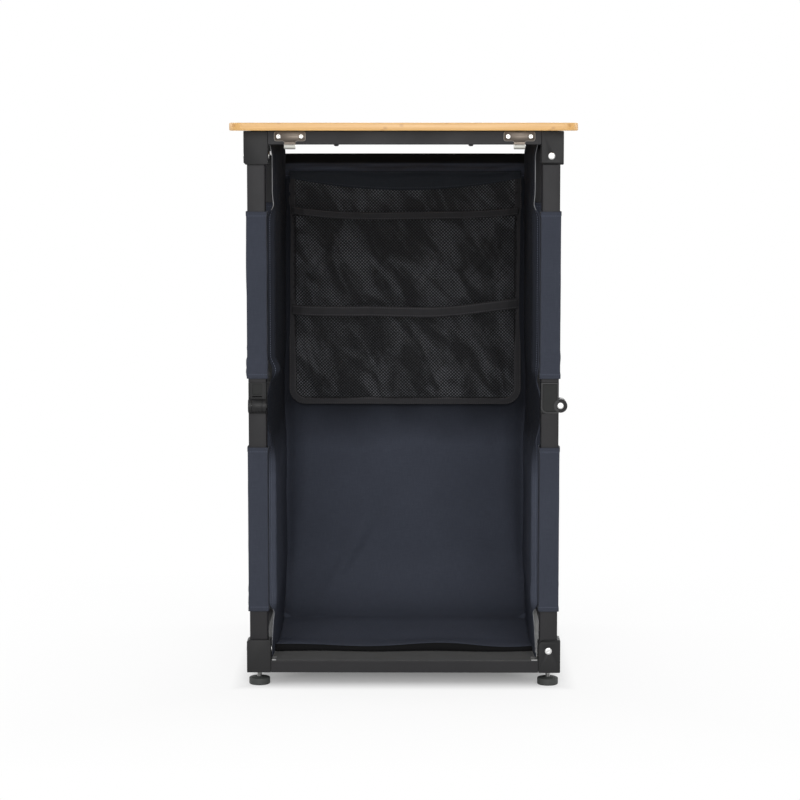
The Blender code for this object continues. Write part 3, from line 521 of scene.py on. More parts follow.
def base_corner(name):
    """A lower block, which is open at its top for the leg and rounded on its outer side."""
    outline = rounded((BLOCK_IN_X, BASE_UNDERSIDE), (BLOCK_OUT_X, BASE_EAR_TOP),
                      [BLOCK_LIP, BLOCK_LIP, BLOCK_LIP, BASE_EAR_R], 10)
    return block(name, outline, BASE_PIVOT_Z, (BASE_PIVOT_Z - CHANNEL_REACH, BASE_EAR_TOP + CUT_PAST),
                 (BASE_UNDERSIDE, BASE_TUBE_TOP), BASE_EAR_TOP, 1)


def top_corner(name):
    """An upper block, which is open at its foot for the leg."""
    outline = rounded((BLOCK_IN_X, TOP_BLOCK_LOW), (BLOCK_OUT_X, FRAME_TOP_Z),
                      [TOP_EAR_R, BLOCK_LIP, BLOCK_LIP, BLOCK_LIP], 8)
    return block(name, outline, TOP_PIVOT_Z, (TOP_BLOCK_LOW - CUT_PAST, TOP_PIVOT_Z + CHANNEL_REACH),
                 (FRAME_TOP_Z - TOP_RAIL_H, FRAME_TOP_Z), TOP_BLOCK_LOW, -1)


def pin_shape(name, centre, grip_half):
    """A rivet-like pin along Y with a low domed head and a dimple at each end."""
    low = grip_half + GAP
    top = low + HEAD_H
    one = [(0, top - 0.0005), (0.0011, top - 0.0005), (0.0014, top - 0.0001), (0.0019, top),
           (HEAD_R - 0.0013, top - 0.0001), (HEAD_R - 0.0006, top - 0.0004), (HEAD_R - 0.0001, top - 0.0008),
           (HEAD_R, low), (PIN_R, low)]
    profile = [(r, -h) for r, h in one] + [(r, h) for r, h in reversed(one)]
    put = Matrix.Translation((centre[0], LEG_Y, centre[1])) @ Matrix.Rotation(math.pi / 2, 4, "X")
    return solid(turned(profile, put, 36), name, "steel")


def leg_tube(name, pivot_z, square_z):
    """A leg tube with a round pivot end and a square knee end."""
    half = TUBE_HALF
    up = 1 if pivot_z < square_z else -1
    outline = arc((LEG_X, pivot_z), half, 90 + 90 * up, 270 + 90 * up, 24)
    outline += [(LEG_X + up * half, square_z), (LEG_X - up * half, square_z)]
    bm = prism(outline, "Y", *about(LEG_Y, half))
    # only the long edges and the round end are eased; the cut end stays square
    rims = [e for e in bm.edges if abs(e.verts[0].co.y - e.verts[1].co.y) < 1e-6
            and any(abs(v.co.z - square_z) > 1e-5 for v in e.verts)]
    bmesh.ops.bevel(bm, geom=rims, offset=TUBE_CORNER, segments=4, profile=0.5, affect="EDGES", material=-1)
    hollow = square_bar(half - TUBE_WALL, min(pivot_z, square_z) - THROUGH, max(pivot_z, square_z) + THROUGH)
    bore = rod(PIN_BORE, (LEG_X, pivot_z), *about(LEG_Y, THROUGH), 32)
    return carved(name, "black_metal", bm, (), (hollow, bore), bevel=0.0)


def square_bar(half, low_z, high_z):
    """A bar with slightly rounded corners on the leg's middle line."""
    (left, right), (front, back) = about(LEG_X, half), about(LEG_Y, half)
    return prism(rounded((left, front), (right, back), [0.0006] * 4, 2), "Z", low_z, high_z)


def knee_upper(name):
    """The body under the upper tube, its raised-rim cheeks and its two ears."""
    centre, low = (KNEE_X, KNEE_Z), KNEE_Z - CHEEK_DROP
    (left, right), (front, back) = about(LEG_X, TUBE_HALF), about(LEG_Y, TUBE_HALF)
    inside = TUBE_HALF - CHEEK_WALL
    body = prism(rounded((left, KNEE_Z + GAP / 2), (right, FITTING_TOP), [0] * 4), "Y", front, back, 0.0006)
    cheek = rounded((left, low), (right, KNEE_Z + CHEEK_R), [CHEEK_R, 0.0006, 0, 0], 14)
    adds = [prism(cheek, "Y", front, LEG_Y - inside), prism(cheek, "Y", LEG_Y + inside, back),
            square_bar(PLUG_HALF, FITTING_TOP - 0.004, FITTING_TOP + PLUG_LEN)]

    def cheek_face(rim):
        return rounded((left + rim, low + rim), (right - rim, FITTING_TOP - rim),
                       [CHEEK_R - rim, 0, 0, 0], 14)

    cuts = []
    for side in (-1, 1):
        near, shallow, deep, past = (LEG_Y + side * (TUBE_HALF + out) for out in
                                     (CUT_PAST, -CHEEK_RECESS, -GROOVE_DEPTH, -GROOVE_DEPTH - 0.001))
        core = prism(cheek_face(RIM + GROOVE), "Y", *sorted((past, shallow)))
        face = prism(cheek_face(RIM), "Y", *sorted((near, deep)))
        cuts.append(taken(carved("ring", "black_plastic", face, (), [core], bevel=0.0)))
    shell = carved("shell", "black_plastic", body, adds, cuts, bevel=0.0)
    ear_start = KNUCKLE_LEN / 2 + EAR_GAP - GAP / 2
    ears = [rod(KNUCKLE_R, centre, front, LEG_Y - ear_start), rod(KNUCKLE_R, centre, LEG_Y + ear_start, back)]
    panel, slot = (prism(rounded((LEG_Y - PANEL_HALF, KNEE_Z + start), (LEG_Y + PANEL_HALF, KNEE_Z + end),
                                 [radius] * 4, steps), "X", right - depth, right + CUT_PAST)
                   for start, end, radius, steps, depth in ((PANEL_LOW, PANEL_HIGH, 0.001, 3, PANEL_DEPTH),
                                                            (0.0120, 0.0140, 0.0005, 2, 0.0080)))
    sinks = [rod(HEAD_R + GAP, centre, *sorted((LEG_Y + s * (KNEE_GRIP - GAP / 2),
                                                LEG_Y + s * (TUBE_HALF + CUT_PAST)))) for s in (-1, 1)]
    relief = rod(KNUCKLE_R + KNUCKLE_GAP, centre, *about(LEG_Y, KNUCKLE_LEN / 2 + EAR_GAP))
    bore = rod(PIN_BORE, centre, *about(LEG_Y, THROUGH), 32)
    shell = carved(name, "black_plastic", taken(shell), ears, (relief, panel, slot, bore, *sinks))
    # the rims take a paler copy of the plastic, a painted highlight, and the floors of the recesses a darker
    # copy, painted shade
    shell.data.materials.append(MATERIALS["painted_highlight_rim"])
    shell.data.materials.append(MATERIALS["painted_shade_recess"])
    for part in shell.data.polygons:
        out, (x, _, z) = TUBE_HALF - abs(part.center.y - LEG_Y), part.center
        faces_out = abs(part.normal.y) > 0.9
        on_panel = (abs(x - right + PANEL_DEPTH) < 0.001
                    and PANEL_LOW - 0.0006 < z - KNEE_Z < PANEL_HIGH + 0.0005)
        if faces_out and x < right + 0.001 and out < 0.0003:
            part.material_index = 1
        elif faces_out and x < right and out < GROOVE_DEPTH + 0.0002 or part.normal.x > 0.9 and on_panel:
            part.material_index = 2
    return shell


def knee_lower(name):
    """The body over the lower tube, hollowed for the ears, and the middle knuckle."""
    centre = (KNEE_X, KNEE_Z)
    left, right = about(LEG_X, TUBE_HALF)
    core = prism(rounded((left, KNEE_Z - CHEEK_DROP), (right, KNEE_Z - GAP / 2), [0] * 4), "Y",
                 *about(LEG_Y, TUBE_HALF - CHEEK_WALL - GAP))
    relief_start = KNUCKLE_LEN / 2 + EAR_GAP - GAP
    cuts = [rod(KNUCKLE_R + KNUCKLE_GAP, centre, LEG_Y - TUBE_HALF, LEG_Y - relief_start),
            rod(KNUCKLE_R + KNUCKLE_GAP, centre, LEG_Y + relief_start, LEG_Y + TUBE_HALF)]
    plug = square_bar(PLUG_HALF, LOWER_TUBE_TOP - PLUG_LEN, KNEE_Z - CHEEK_DROP + 0.0008)
    body = carved("body", "black_plastic", core, [plug], cuts, bevel=0.0)
    knuckle = rod(KNUCKLE_R, centre, *about(LEG_Y, KNUCKLE_LEN / 2))
    return carved(name, "black_plastic", taken(body), [knuckle], bevel=0.00022)


def foot_disc(name):
    """A levelling foot's flat disc, dished below, with a low collar round the stem."""
    profile = [(0, 0.0006), (0.0122, 0.0006), (0.0128, 0.0), (0.0139, 0.0), (0.0147, 0.0008),
               (0.0148, 0.0018), (0.0148, 0.0082), (0.0145, 0.0091), (0.0138, 0.0095), (0.0060, 0.0097),
               (0.0052, 0.0101), (0.0050, 0.0108), (0, 0.0108)]
    return solid(turned(profile, Matrix.Translation((LEG_X, LEG_Y, 0)), 40), name, "foot_rubber")


def foot_stem(name):
    """The threaded steel stem, from inside the disc's collar up into the block."""
    low, pitch, turns = 0.0104, 0.0010, 22
    profile = [(0, low), (0.0028, low)]
    for k in range(turns):
        profile += [(0.0032, low + pitch * (k + 0.5)), (0.0028, low + pitch * (k + 1))]
    profile.append((0, low + pitch * turns))
    return solid(turned(profile, Matrix.Translation((LEG_X, LEG_Y, 0)), 32), name, "steel")


def hook_plate(side, middle_x):
    """A T-shaped plate with two domed rivets; its tongue bends out and up into a hook."""
    top = FRAME_TOP_Z - 0.0009
    low = top - 0.0132
    half, stem, corner, sheet, bend = 0.0435 / 2, 0.0154 / 2, 0.0032, 0.0012, 0.0026
    back = RAIL_FRONT_Y - GAP
    outline = [(middle_x + stem, low - 0.002), (middle_x + stem + 0.0007, low - 0.0008),
               (middle_x + stem + 0.0022, low)]
    outline += arc((middle_x + half - corner, low + corner), corner, -90, 0, 6)
    outline += arc((middle_x + half - corner, top - corner), corner, 0, 90, 6)
    outline += [(2 * middle_x - x, z) for x, z in reversed(outline)]
    plate = solid(prism(outline, "Y", back - sheet, back, 0.0005), f"hook_plate_{side}_face", "satin_plate")
    # the plate's edges take the paler metal: a painted highlight
    plate.data.materials.append(MATERIALS["edge_of_plate_painted_highlight"])
    for part in plate.data.polygons:
        part.material_index = int(abs(part.normal.y) < 0.95)
    # the tongue: a side profile of its middle line, swept across its width
    middle = [(back - sheet / 2, low - 0.0012), (back - sheet / 2, low - 0.0050),
              (back - 0.0008, low - 0.0066)]
    middle += arc((back - 0.0034, low - 0.0078), bend, 0, -180, 12)
    middle += [(back - 0.0062, low - 0.0060), (back - 0.0066, low - 0.0046)]
    bm = bmesh.new()
    rows = []
    for k, (y, z) in enumerate(middle):
        before, after = middle[max(k - 1, 0)], middle[min(k + 1, len(middle) - 1)]
        run = Vector((after[0] - before[0], after[1] - before[1])).normalized()
        out = Vector((-run.y, run.x)) * (sheet / 2)
        narrow = 0.0012 if k == len(middle) - 1 else 0.0
        rows.append(ring([Vector((middle_x + s * (stem - narrow), y + w * out.x, z + w * out.y))
                          for s, w in ((-1, -1), (1, -1), (1, 1), (-1, 1))]))
    laid(bm, rows)
    tongue = solid(sealed(bm), f"hook_plate_{side}_tongue", "tongue_painted_highlight")
    tongue.data.materials.append(MATERIALS["satin_plate"])
    # the tongue's hook below the rail keeps the paler metal as a painted highlight; its part against the rail
    # takes the plate's metal
    for part in tongue.data.polygons:
        part.material_index = int(part.center.z > FRAME_TOP_Z - TOP_RAIL_H)
    rivets = []
    for name, sign in (("outer", -1), ("inner", 1)):
        dome = [(0, 0.0005), (0.0012, 0.0006), (0.0019, 0.0011), (0.0025, 0.0011), (0.0031, 0.0006),
                (0.0034, 0.0), (0.0034, -0.0004), (0, -0.0004)]
        put = (Matrix.Translation((middle_x + sign * 0.0156, back - sheet, (top + low) / 2))
               @ Matrix.Rotation(math.pi / 2, 4, "X"))
        rivets.append(solid(turned(dome, put, 28), f"hook_plate_{side}_rivet_{name}", "steel"))
    for obj in (plate, tongue, *rivets):
        settle(obj, "top_frame", "satin_plate", "hook_plate_" + side)


def rail_screw(side, x):
    """A pan-head screw in the underside of the front rail."""
    z = FRAME_TOP_Z - TOP_RAIL_H
    head = [(0, -0.0012), (0.0009, -0.0012), (0.0010, -0.0021), (0.0018, -0.0022), (0.0028, -0.0017),
            (0.0034, -0.0008), (0.0035, 0.0002), (0, 0.0002)]
    put = Matrix.Translation((x, (RAIL_FRONT_Y + RAIL_BACK_Y) / 2, z))
    settle(solid(turned(head, put, 28), "rail_screw_" + side, "black_metal"), "top_frame", "black_metal")


# Cloth
def bump(position, centre, width):
    """A smooth hump: 1 at the centre, 0 at a width to either side."""
    distance = abs(position - centre) / width
    return 0.5 + 0.5 * math.cos(math.pi * distance) if distance < 1 else 0.0


def ease(value, low, high):
    """0 below low, 1 above high, and a smooth rise between."""
    share = min(1.0, max(0.0, (value - low) / (high - low)))
    return share * share * (3 - 2 * share)


def ripple(x, y, z, scale, seed=0.0):
    return noise.noise(Vector((x / scale + seed, y / scale - seed, z / scale + 0.37 * seed)))


def thicken(obj, thickness, offset=0.0):
    thick = obj.modifiers.new("thickness", "SOLIDIFY")
    thick.thickness, thick.offset, thick.use_even_offset = thickness, offset, False
    return thick


def cloth_grid(name, columns, rows, point_of, size, material, thickness=CLOTH, lining=None):
    """An object: a grid whose points come from point_of(across, along), with UVs in metres, made thick.

    With a lining, the two faces of the cloth have a material each.
    """
    bm = bmesh.new()
    bmesh.ops.create_grid(bm, x_segments=columns, y_segments=rows, size=0.5, calc_uvs=True)
    layer = bm.loops.layers.uv.verify()
    for face in bm.faces:
        for loop in face.loops:
            loop[layer].uv = ((loop.vert.co.x + 0.5) * size[0], (loop.vert.co.y + 0.5) * size[1])
    for vert in bm.verts:
        vert.co = point_of(vert.co.x + 0.5, vert.co.y + 0.5)
    mesh = meshed(bm, name)
    mesh.shade_smooth()
    mesh.materials.append(MATERIALS[material])
    obj = placed(name, mesh)
    thick = thicken(obj, thickness)
    if lining:
        mesh.materials.append(MATERIALS[lining])
        thick.material_offset = 1
    return obj


def crumple(obj):
    """Gives a piece of the cloth body its own copy of its mesh."""
    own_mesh(obj)
    return obj


def sleeve_zone(z, soft=0.010):
    """1 at the heights of the two sleeves and 0 at the knee, the foot and the top."""
    def within(low, high):
        return ease(z, low - soft, low + soft) * (1 - ease(z, high - soft, high + soft))

    return max(within(low, low + SLEEVE_LENGTH) for low in SLEEVE_LOW.values())


def wall_inset(y, z):
    """How far a side wall stands in from its plane: it sags between the legs and is drawn in by its flaps."""
    across = min(1.0, max(0.0, (y + CLOTH_HALF) / (WALL_REAR_Y + CLOTH_HALF)))
    along = (z - CLOTH_FLOOR_Z) / (SIDE_WALL_TOP - CLOTH_FLOOR_Z)
    sag = 0.0030 * math.sin(math.pi * across) * (0.7 + 0.3 * math.sin(math.tau * (along * 1.5 + across)))
    held = 0.0058 * sleeve_zone(z, 0.030) * (1 - 0.6 * across)
    foot = ease(z, CLOTH_FLOOR_Z, 0.090) * (1 - ease(z, 0.100, 0.150))
    head = ease(z, 0.640, 0.680) * (1 - ease(z, 0.742, 0.770))
    loose = (0.0015 + 0.0022 * foot + 0.0045 * head) * (1 - across)
    tucked = 0.0062 * bump(z, 0.388, 0.055) * (1 - across) ** 4
    return sag + held + loose - tucked


WALL_RUN_ACROSS, FLAP = 0.392, 0.0150
FLAP_START_Y, RIDGE_Y, FREE_EDGE_Y = -0.2085, -0.1950, -0.1895
REAR_FLAP, REAR_FLAP_REACH = 0.020, 0.016


def side_point(sign, across, along):
    """A side wall. At the sleeves its edges are flaps: the front one runs in to a sewn ridge."""
    z = CLOTH_FLOOR_Z + (SIDE_WALL_TOP - CLOTH_FLOOR_Z) * along
    held = sleeve_zone(z)
    run = across * WALL_RUN_ACROSS
    back = ease(run, 0.0, FLAP)
    rear = ease(run, WALL_RUN_ACROSS - REAR_FLAP, WALL_RUN_ACROSS)
    y_held = FLAP_START_Y + (RIDGE_Y - FLAP_START_Y) * min(1.0, run / FLAP) + REAR_FLAP_REACH * rear
    y_held += max(0.0, run - FLAP) * (WALL_REAR_Y - RIDGE_Y) / (WALL_RUN_ACROSS - FLAP)
    y_free = FREE_EDGE_Y + run * (WALL_REAR_Y - FREE_EDGE_Y) / WALL_RUN_ACROSS
    y = y_free + (y_held - y_free) * held
    inset = wall_inset(min(y, WALL_REAR_Y), z) * (1 - rear * held) - 0.0009 * rear * held
    ridge = 0.0016 * bump(run, FLAP, 0.011) - 0.0007 * bump(run, FLAP + 0.0015, 0.0022)
    inset_held = (0.0003 + (inset - 0.0003) * back) + ridge
    inset += (inset_held - inset) * held
    tame = ease(run, 0.0, 0.05) * (1 - rear)
    top = ease(z, 0.60, 0.74) * (1 - ease(z, 0.745, 0.765))
    folds = 0.0016 * top * (1 + math.sin(150 * y + 1.7 * sign + 10 * z)) * tame
    folds += 0.0007 * (1 + math.sin(31 * z + 3 * sign + 14 * y)) * math.sin(math.pi * across)
    folds += 0.0010 * (0.6 + ripple(0, y, z, 0.060, 3.0 + sign)) * tame
    folds += 0.0005 * (0.6 + ripple(0, y, z, 0.016, 9.0 * sign)) * ease(run, 0.0, 0.02) * (1 - rear)
    gather = bump(z, 0.4465, 0.020) * bump(run, 0.012, 0.030) * (0.0085 if sign < 0 else 0.0015)
    drop = 0.0015 * math.sin(9 * y) * ease(along, 0.97, 1.0)
    return Vector((sign * (CLOTH_HALF - inset - folds - gather), y, z + drop))


def side_wall(side, sign):
    """A side wall, and the light piping on its front edge where no sleeve covers it."""
    # the face that the grid's normals point to is the outside on the right and the inside on the left
    face, back = ("wall_cloth", "wall_inside_painted_light_and_shade") if sign > 0 else ("wall_inside_painted_light_and_shade", "wall_cloth")
    obj = cloth_grid("side_wall_cloth_" + side, 120, 190,
                     lambda across, along: side_point(sign, across, along),
                     (WALL_RUN_ACROSS, 0.736), face, CLOTH, back)
    settle(crumple(obj), "base", "navy_cloth", "side_wall_" + side)
    radius = 0.0005
    for place, low, high in (("foot", 0.042, 0.106), ("head", 0.669, 0.764)):
        bm = bmesh.new()
        rings = []
        for k in range(41):
            z = low + (high - low) * k / 40
            centre = side_point(sign, 0.0, (z - CLOTH_FLOOR_Z) / (SIDE_WALL_TOP - CLOTH_FLOOR_Z))
            rings.append(ring([centre + Vector((x, y - radius, 0)) for x, y in circle((0, 0), radius, 8)]))
        laid(bm, rings)
        piping = solid(sealed(bm), f"side_wall_piping_{side}_{place}", "piping", smooth=60)
        settle(crumple(piping), "base", "navy_cloth")


HEM_FOLD = 0.0085
WALL_BEND_Y, WALL_BEND_Z = CLOTH_HALF - BEND_R, CLOTH_FLOOR_Z + BEND_R
FLOOR_RUN, BEND_RUN = WALL_BEND_Y - HEM_Y, BEND_R * math.pi / 2
WALL_RUN = REAR_WALL_TOP - WALL_BEND_Z
REAR_LENGTH = FLOOR_RUN + BEND_RUN + WALL_RUN


def rear_relief(x, z):
    """How far the rear wall's face stands forward of its plane, for x from -1 to 1 across."""
    edge = math.cos(math.pi / 2 * x) ** 0.5 if abs(x) < 1 else 0.0
    depth = 0.0
    # the rolled hem near the top, fuller and lower right of the middle, which thins out at its ends
    full = ease(x, -0.62, -0.20) * (1 - ease(x, 0.72, 0.92))
    centre = 0.7195 - 0.0030 * full + 0.0012 * math.sin(8 * x)
    roll = bump(z, centre, 0.0074 + 0.0016 * full)
    depth += 0.0115 * roll ** 0.55 * (0.30 + 0.45 * edge + 0.25 * full) * (1 + 0.12 * math.sin(9 * x + 1.0))
    depth += 0.0020 * bump(x, -0.39, 0.035) * bump(z, 0.7165, 0.008) + 0.0025 * bump(x, 0.26, 0.10) * roll
    # above the roll the cloth leans back to its top edge, with a long fold that rises to the right corner
    depth -= 0.0075 * ease(z, 0.7265, 0.7420) * edge
    depth += 0.0042 * bump(z, 0.7295 + 0.008 * ease(x, 0.1, 1.0), 0.0030) * ease(x, -0.30, 0.30)
    # folds that fan out under the roll from both top corners
    for side, seed in ((-1, 0.0), (1, 2.1)):
        reach = 1 - side * x
        if reach < 0.55:
            for k, slope in enumerate((0.16, 0.34, 0.62)):
                line = 0.7100 - reach * slope
                depth += (0.0034 * bump(z, line + 0.004 * math.sin(seed + k), 0.010 + 0.012 * reach)
                          * (1 - reach / 0.55) * ease(reach, 0.0, 0.05))
    # a soft tension crease low on the left, and slack lower down
    lean = z - (0.060 + (x + 0.66) * 0.30)
    depth += 0.0055 * bump(lean, 0.0, 0.030) * bump(x, -0.52, 0.34)
    depth += 0.0022 * ripple(x, 0, z, 0.55, 5.0) * edge + 0.0009 * ripple(x * 0.19, 0, z, 0.045, 1.3) * edge
    # both edges come forward to meet the side walls in a soft corner
    low = ease(z, 0.085, 0.240) * (1 - ease(z, 0.30, 0.43))
    return depth + 0.0120 * ease(abs(x), 0.90, 1.0) ** 1.6 + 0.028 * low * ease(abs(x), 0.74, 1.0) ** 2


def rear_point(across, along):
    """A point of the cloth floor, the bend or the rear wall, by its share across and along the sheet."""
    run = along * REAR_LENGTH
    share = 2 * across - 1
    if run < FLOOR_RUN:
        y, z = HEM_Y + run, CLOTH_FLOOR_Z
    elif run < FLOOR_RUN + BEND_RUN:
        angle = (run - FLOOR_RUN) / BEND_R
        y, z = WALL_BEND_Y + BEND_R * math.sin(angle), WALL_BEND_Z - BEND_R * math.cos(angle)
    else:
        y, z = CLOTH_HALF, WALL_BEND_Z + run - FLOOR_RUN - BEND_RUN
    half = CLOTH_HALF - wall_inset(min(y, WALL_REAR_Y), z) - 0.0016
    x = share * half
    if run < FLOOR_RUN:
        # the hem stands on the shelf as a narrow turned-down fold, behind which the floor sinks to the shelf
        hem = 1 - run / FLOOR_RUN
        fold = min(1.0, run / HEM_FOLD)
        y -= 0.0050 * fold * hem
        lift = 0.0014 * (1 - math.cos(2 * math.tau * across + 0.6)) * hem
        lift += 0.0078 * (1 - ease(run, HEM_FOLD, 0.090)) * (0.75 + 0.25 * math.sin(5 * share + 0.8))
        lift += 0.0012 * (ripple(x, y, 0, 0.09, 4.0) + 0.5) * ease(hem, 0.05, 0.3)
        lift *= math.sin(math.pi / 2 * fold) ** 0.7
        return Vector((x, y + 0.003 * math.sin(7 * share) * hem, z + max(0.0, lift)))
    relief = rear_relief(share, z)
    bend = ease(run, FLOOR_RUN, FLOOR_RUN + BEND_RUN)
    return Vector((x, y - relief * bend, z + relief * (1 - bend) * 0.5))


def rear_wall():
    """The rear wall and the cloth floor that it bends into, in one sheet."""
    obj = cloth_grid("rear_wall_cloth", 120, 320, rear_point, (0.378, REAR_LENGTH), "rear_inside_painted_light_and_shade", CLOTH,
                     "rear_cloth")
    settle(crumple(obj), "base", "navy_cloth", "rear_wall")


def sleeve(kind, corner, low_z, degrees, body, seed):
    """A square cloth sleeve round a leg tube: creased corners, hemmed ends and shallow wrinkles."""
    corner_r, per_side, per_corner, rows = 0.0022, 10, 4, 96
    rumple = 0.0042 if kind == "upper" else 0.0014
    flat = SLEEVE_HALF - corner_r
    loop = []
    for k in range(4):
        side = Matrix.Rotation(math.radians(90 * k), 2)
        for i in range(per_side):
            place = side @ Vector((SLEEVE_HALF, -flat + 2 * flat * i / per_side))
            loop.append((place, side @ Vector((1, 0))))
        for i in range(per_corner):
            angle = math.radians(90 * i / per_corner)
            out = side @ Vector((math.cos(angle), math.sin(angle)))
            loop.append((side @ Vector((flat, flat)) + out * corner_r, out))
    around = [0.0]
    for (one, _), (two, _) in zip(loop, loop[1:] + loop[:1]):
        around.append(around[-1] + (two - one).length)
    grid = []
    for j in range(rows + 1):
        along = SLEEVE_LENGTH * j / rows
        z, ends = low_z + along, min(along, SLEEVE_LENGTH - along)
        low_end = 1 - ease(along, 0.0, 0.075)
        hem = 0.0005 * (1 - ease(ends, 0.0058, 0.0064))
        row = []
        for place, out in loop:
            wrinkle = ripple(place.x, place.y, z, 0.055, seed) * 0.0010
            wrinkle += ripple(place.x * 0.4, place.y * 0.4, z, 0.011, seed + 7) * rumple * low_end
            face = 1 - (abs(place.dot(Vector((-out.y, out.x)))) / SLEEVE_HALF) ** 2
            puff = 0.0006 * max(0.0, face) * (1 - ease(ends, 0.0, 0.03) * 0.2)
            d = min(0.0021, max(-0.0001, hem + puff + max(0.0, wrinkle) * ease(ends, 0.0, 0.012)))
            row.append(Vector((LEG_X + place.x + out.x * d, LEG_Y + place.y + out.y * d, z)))
        grid.append(ring(row))
    bm = bmesh.new()
    laid(bm, grid, uv_of=lambda row, place: (around[place], SLEEVE_LENGTH * row / rows))
    bmesh.ops.remove_doubles(bm, verts=bm.verts, dist=1e-7)
    obj = turn(solid(bm, f"{kind}_sleeve_cloth_{corner}", "sleeve_cloth", smooth=0), degrees)
    thicken(obj, SLEEVE_WALL, -1.0)
    settle(obj, body, "navy_cloth", f"{kind}_sleeve_{corner}")


# The mesh organiser
PANEL_Y = 0.1876
NET_INSET = 0.006
NET_HALF = ORG_HALF - NET_INSET
MESH_PITCH, STRAND_WIDTH, STRAND_DEPTH = 0.0050, 0.00125, 0.0007
POCKETS = {
    "upper": {"low": 0.506, "seams": (0.27, 0.76), "ends": 0.663, "middle": 0.653, "depth": 0.017,
              "tape": 0.0116},
    "lower": {"low": 0.361, "seams": (0.34, 0.69), "ends": 0.512, "middle": 0.507, "depth": 0.020,
              "tape": 0.0160},
}


def panel_y(x, z):
    """The front of the organiser's panel, which follows the wall behind it."""
    behind = PANEL_Y - rear_relief(x / 0.187, z)
    return behind - 0.0008 - 0.0012 * ease(math.sin(11 * x + 19 * z) * 0.5 + 0.5, 0.2, 0.9)


def pocket_top(kind, x):
    """The height of a pocket's top edge, which droops in the middle."""
    pocket = POCKETS[kind]
    share = x / ORG_HALF
    top = pocket["ends"] + (pocket["middle"] - pocket["ends"]) * (1 - share * share)
    if kind == "lower":
        top += 0.008 * ease(share, 0.15, 0.9)
    return top + 0.0012 * math.sin(24 * x + (1.0 if kind == "upper" else 2.5))


def crease(x, z, start, end, width, depth):
    """A fold that runs from one point to another over the pockets, as (x, z) pairs, and fades at its ends."""
    run = (end[0] - start[0], end[1] - start[1])
    length = math.hypot(*run)
    along = ((x - start[0]) * run[0] + (z - start[1]) * run[1]) / length
    aside = ((x - start[0]) * run[1] - (z - start[1]) * run[0]) / length
    aside += 0.003 * math.sin(along * 60)
    return depth * bump(aside, 0.0, width) * bump(along, length / 2, length * 0.62)


FOLDS = {
    "upper": (
        ((-0.170, 0.520), (-0.090, 0.640), 0.016, 0.007), ((-0.060, 0.530), (-0.010, 0.630), 0.014, 0.005),
        ((0.010, 0.520), (0.060, 0.625), 0.012, 0.006), ((0.075, 0.515), (0.165, 0.640), 0.015, 0.008),
        ((0.110, 0.510), (0.172, 0.575), 0.010, 0.006), ((-0.120, 0.515), (-0.150, 0.640), 0.011, 0.004)),
    "lower": (
        ((-0.172, 0.475), (-0.120, 0.370), 0.011, 0.009), ((-0.160, 0.490), (-0.085, 0.385), 0.012, 0.006),
        ((-0.070, 0.372), (-0.020, 0.470), 0.013, 0.005), ((0.000, 0.430), (0.050, 0.395), 0.010, 0.007),
        ((0.030, 0.365), (0.090, 0.480), 0.014, 0.006), ((0.100, 0.480), (0.165, 0.380), 0.013, 0.007),
        ((-0.050, 0.372), (0.040, 0.382), 0.009, 0.005)),
}


def inside_edge(x, z):
    """How far a point lies inside the organiser's sides and its rounded lower corners."""
    aside, below = abs(x) - (ORG_HALF - ORG_CORNER), ORG_LOW + ORG_CORNER - z
    from_side = ORG_HALF - abs(x)
    if aside <= 0 or below <= 0:
        return from_side
    return from_side + (ORG_CORNER - math.hypot(aside, below) - from_side) * ease(aside, 0.0, 0.012)


def pocket_swell(kind, x, z):
    """How far a pocket's mesh stands off the panel."""
    pocket = POCKETS[kind]
    seams = (-NET_HALF, *[2 * NET_HALF * s - NET_HALF for s in pocket["seams"]], NET_HALF)
    k = 0 if x < seams[1] else 1 if x < seams[2] else 2
    local = min(1.0, max(0.0, (x - seams[k]) / (seams[k + 1] - seams[k])))
    top = pocket_top(kind, x)
    share = min(1.0, max(0.0, (z - pocket["low"]) / (top - pocket["low"])))
    wave = math.sin(math.pi * local) ** 0.6
    rise = math.sin(math.pi / 2 * min(1.0, share * (top - pocket["low"]) / 0.040)) ** 0.8
    inside = inside_edge(x, z)
    side = min(1.0, max(0.0, (inside - NET_INSET) / 0.016)) ** 0.7
    slack = 1 - 0.30 * ease(share, 0.45, 1.0) * math.sin(math.pi * local)
    fold = 1.5 * sum(crease(x, z, *one) for one in FOLDS[kind])
    depth = 0.0065 + (pocket["depth"] - 0.0100) * wave * slack + fold * (1 - 0.75 * ease(share, 0.80, 0.95))
    uneven = 0.0030 * ripple(x, 0, z, 0.030, 3.0 if kind == "upper" else 14.0)
    depth += uneven * (1 - 0.6 * ease(share, 0.8, 0.95))
    under_tape = 0.0022 * ease(inside, 0.0020, NET_INSET)
    return max(under_tape, depth * rise * side + under_tape)


def pocket_point(kind, x, z, lift=0.0):
    return Vector((x, panel_y(x, z) - pocket_swell(kind, x, z) - lift, z))


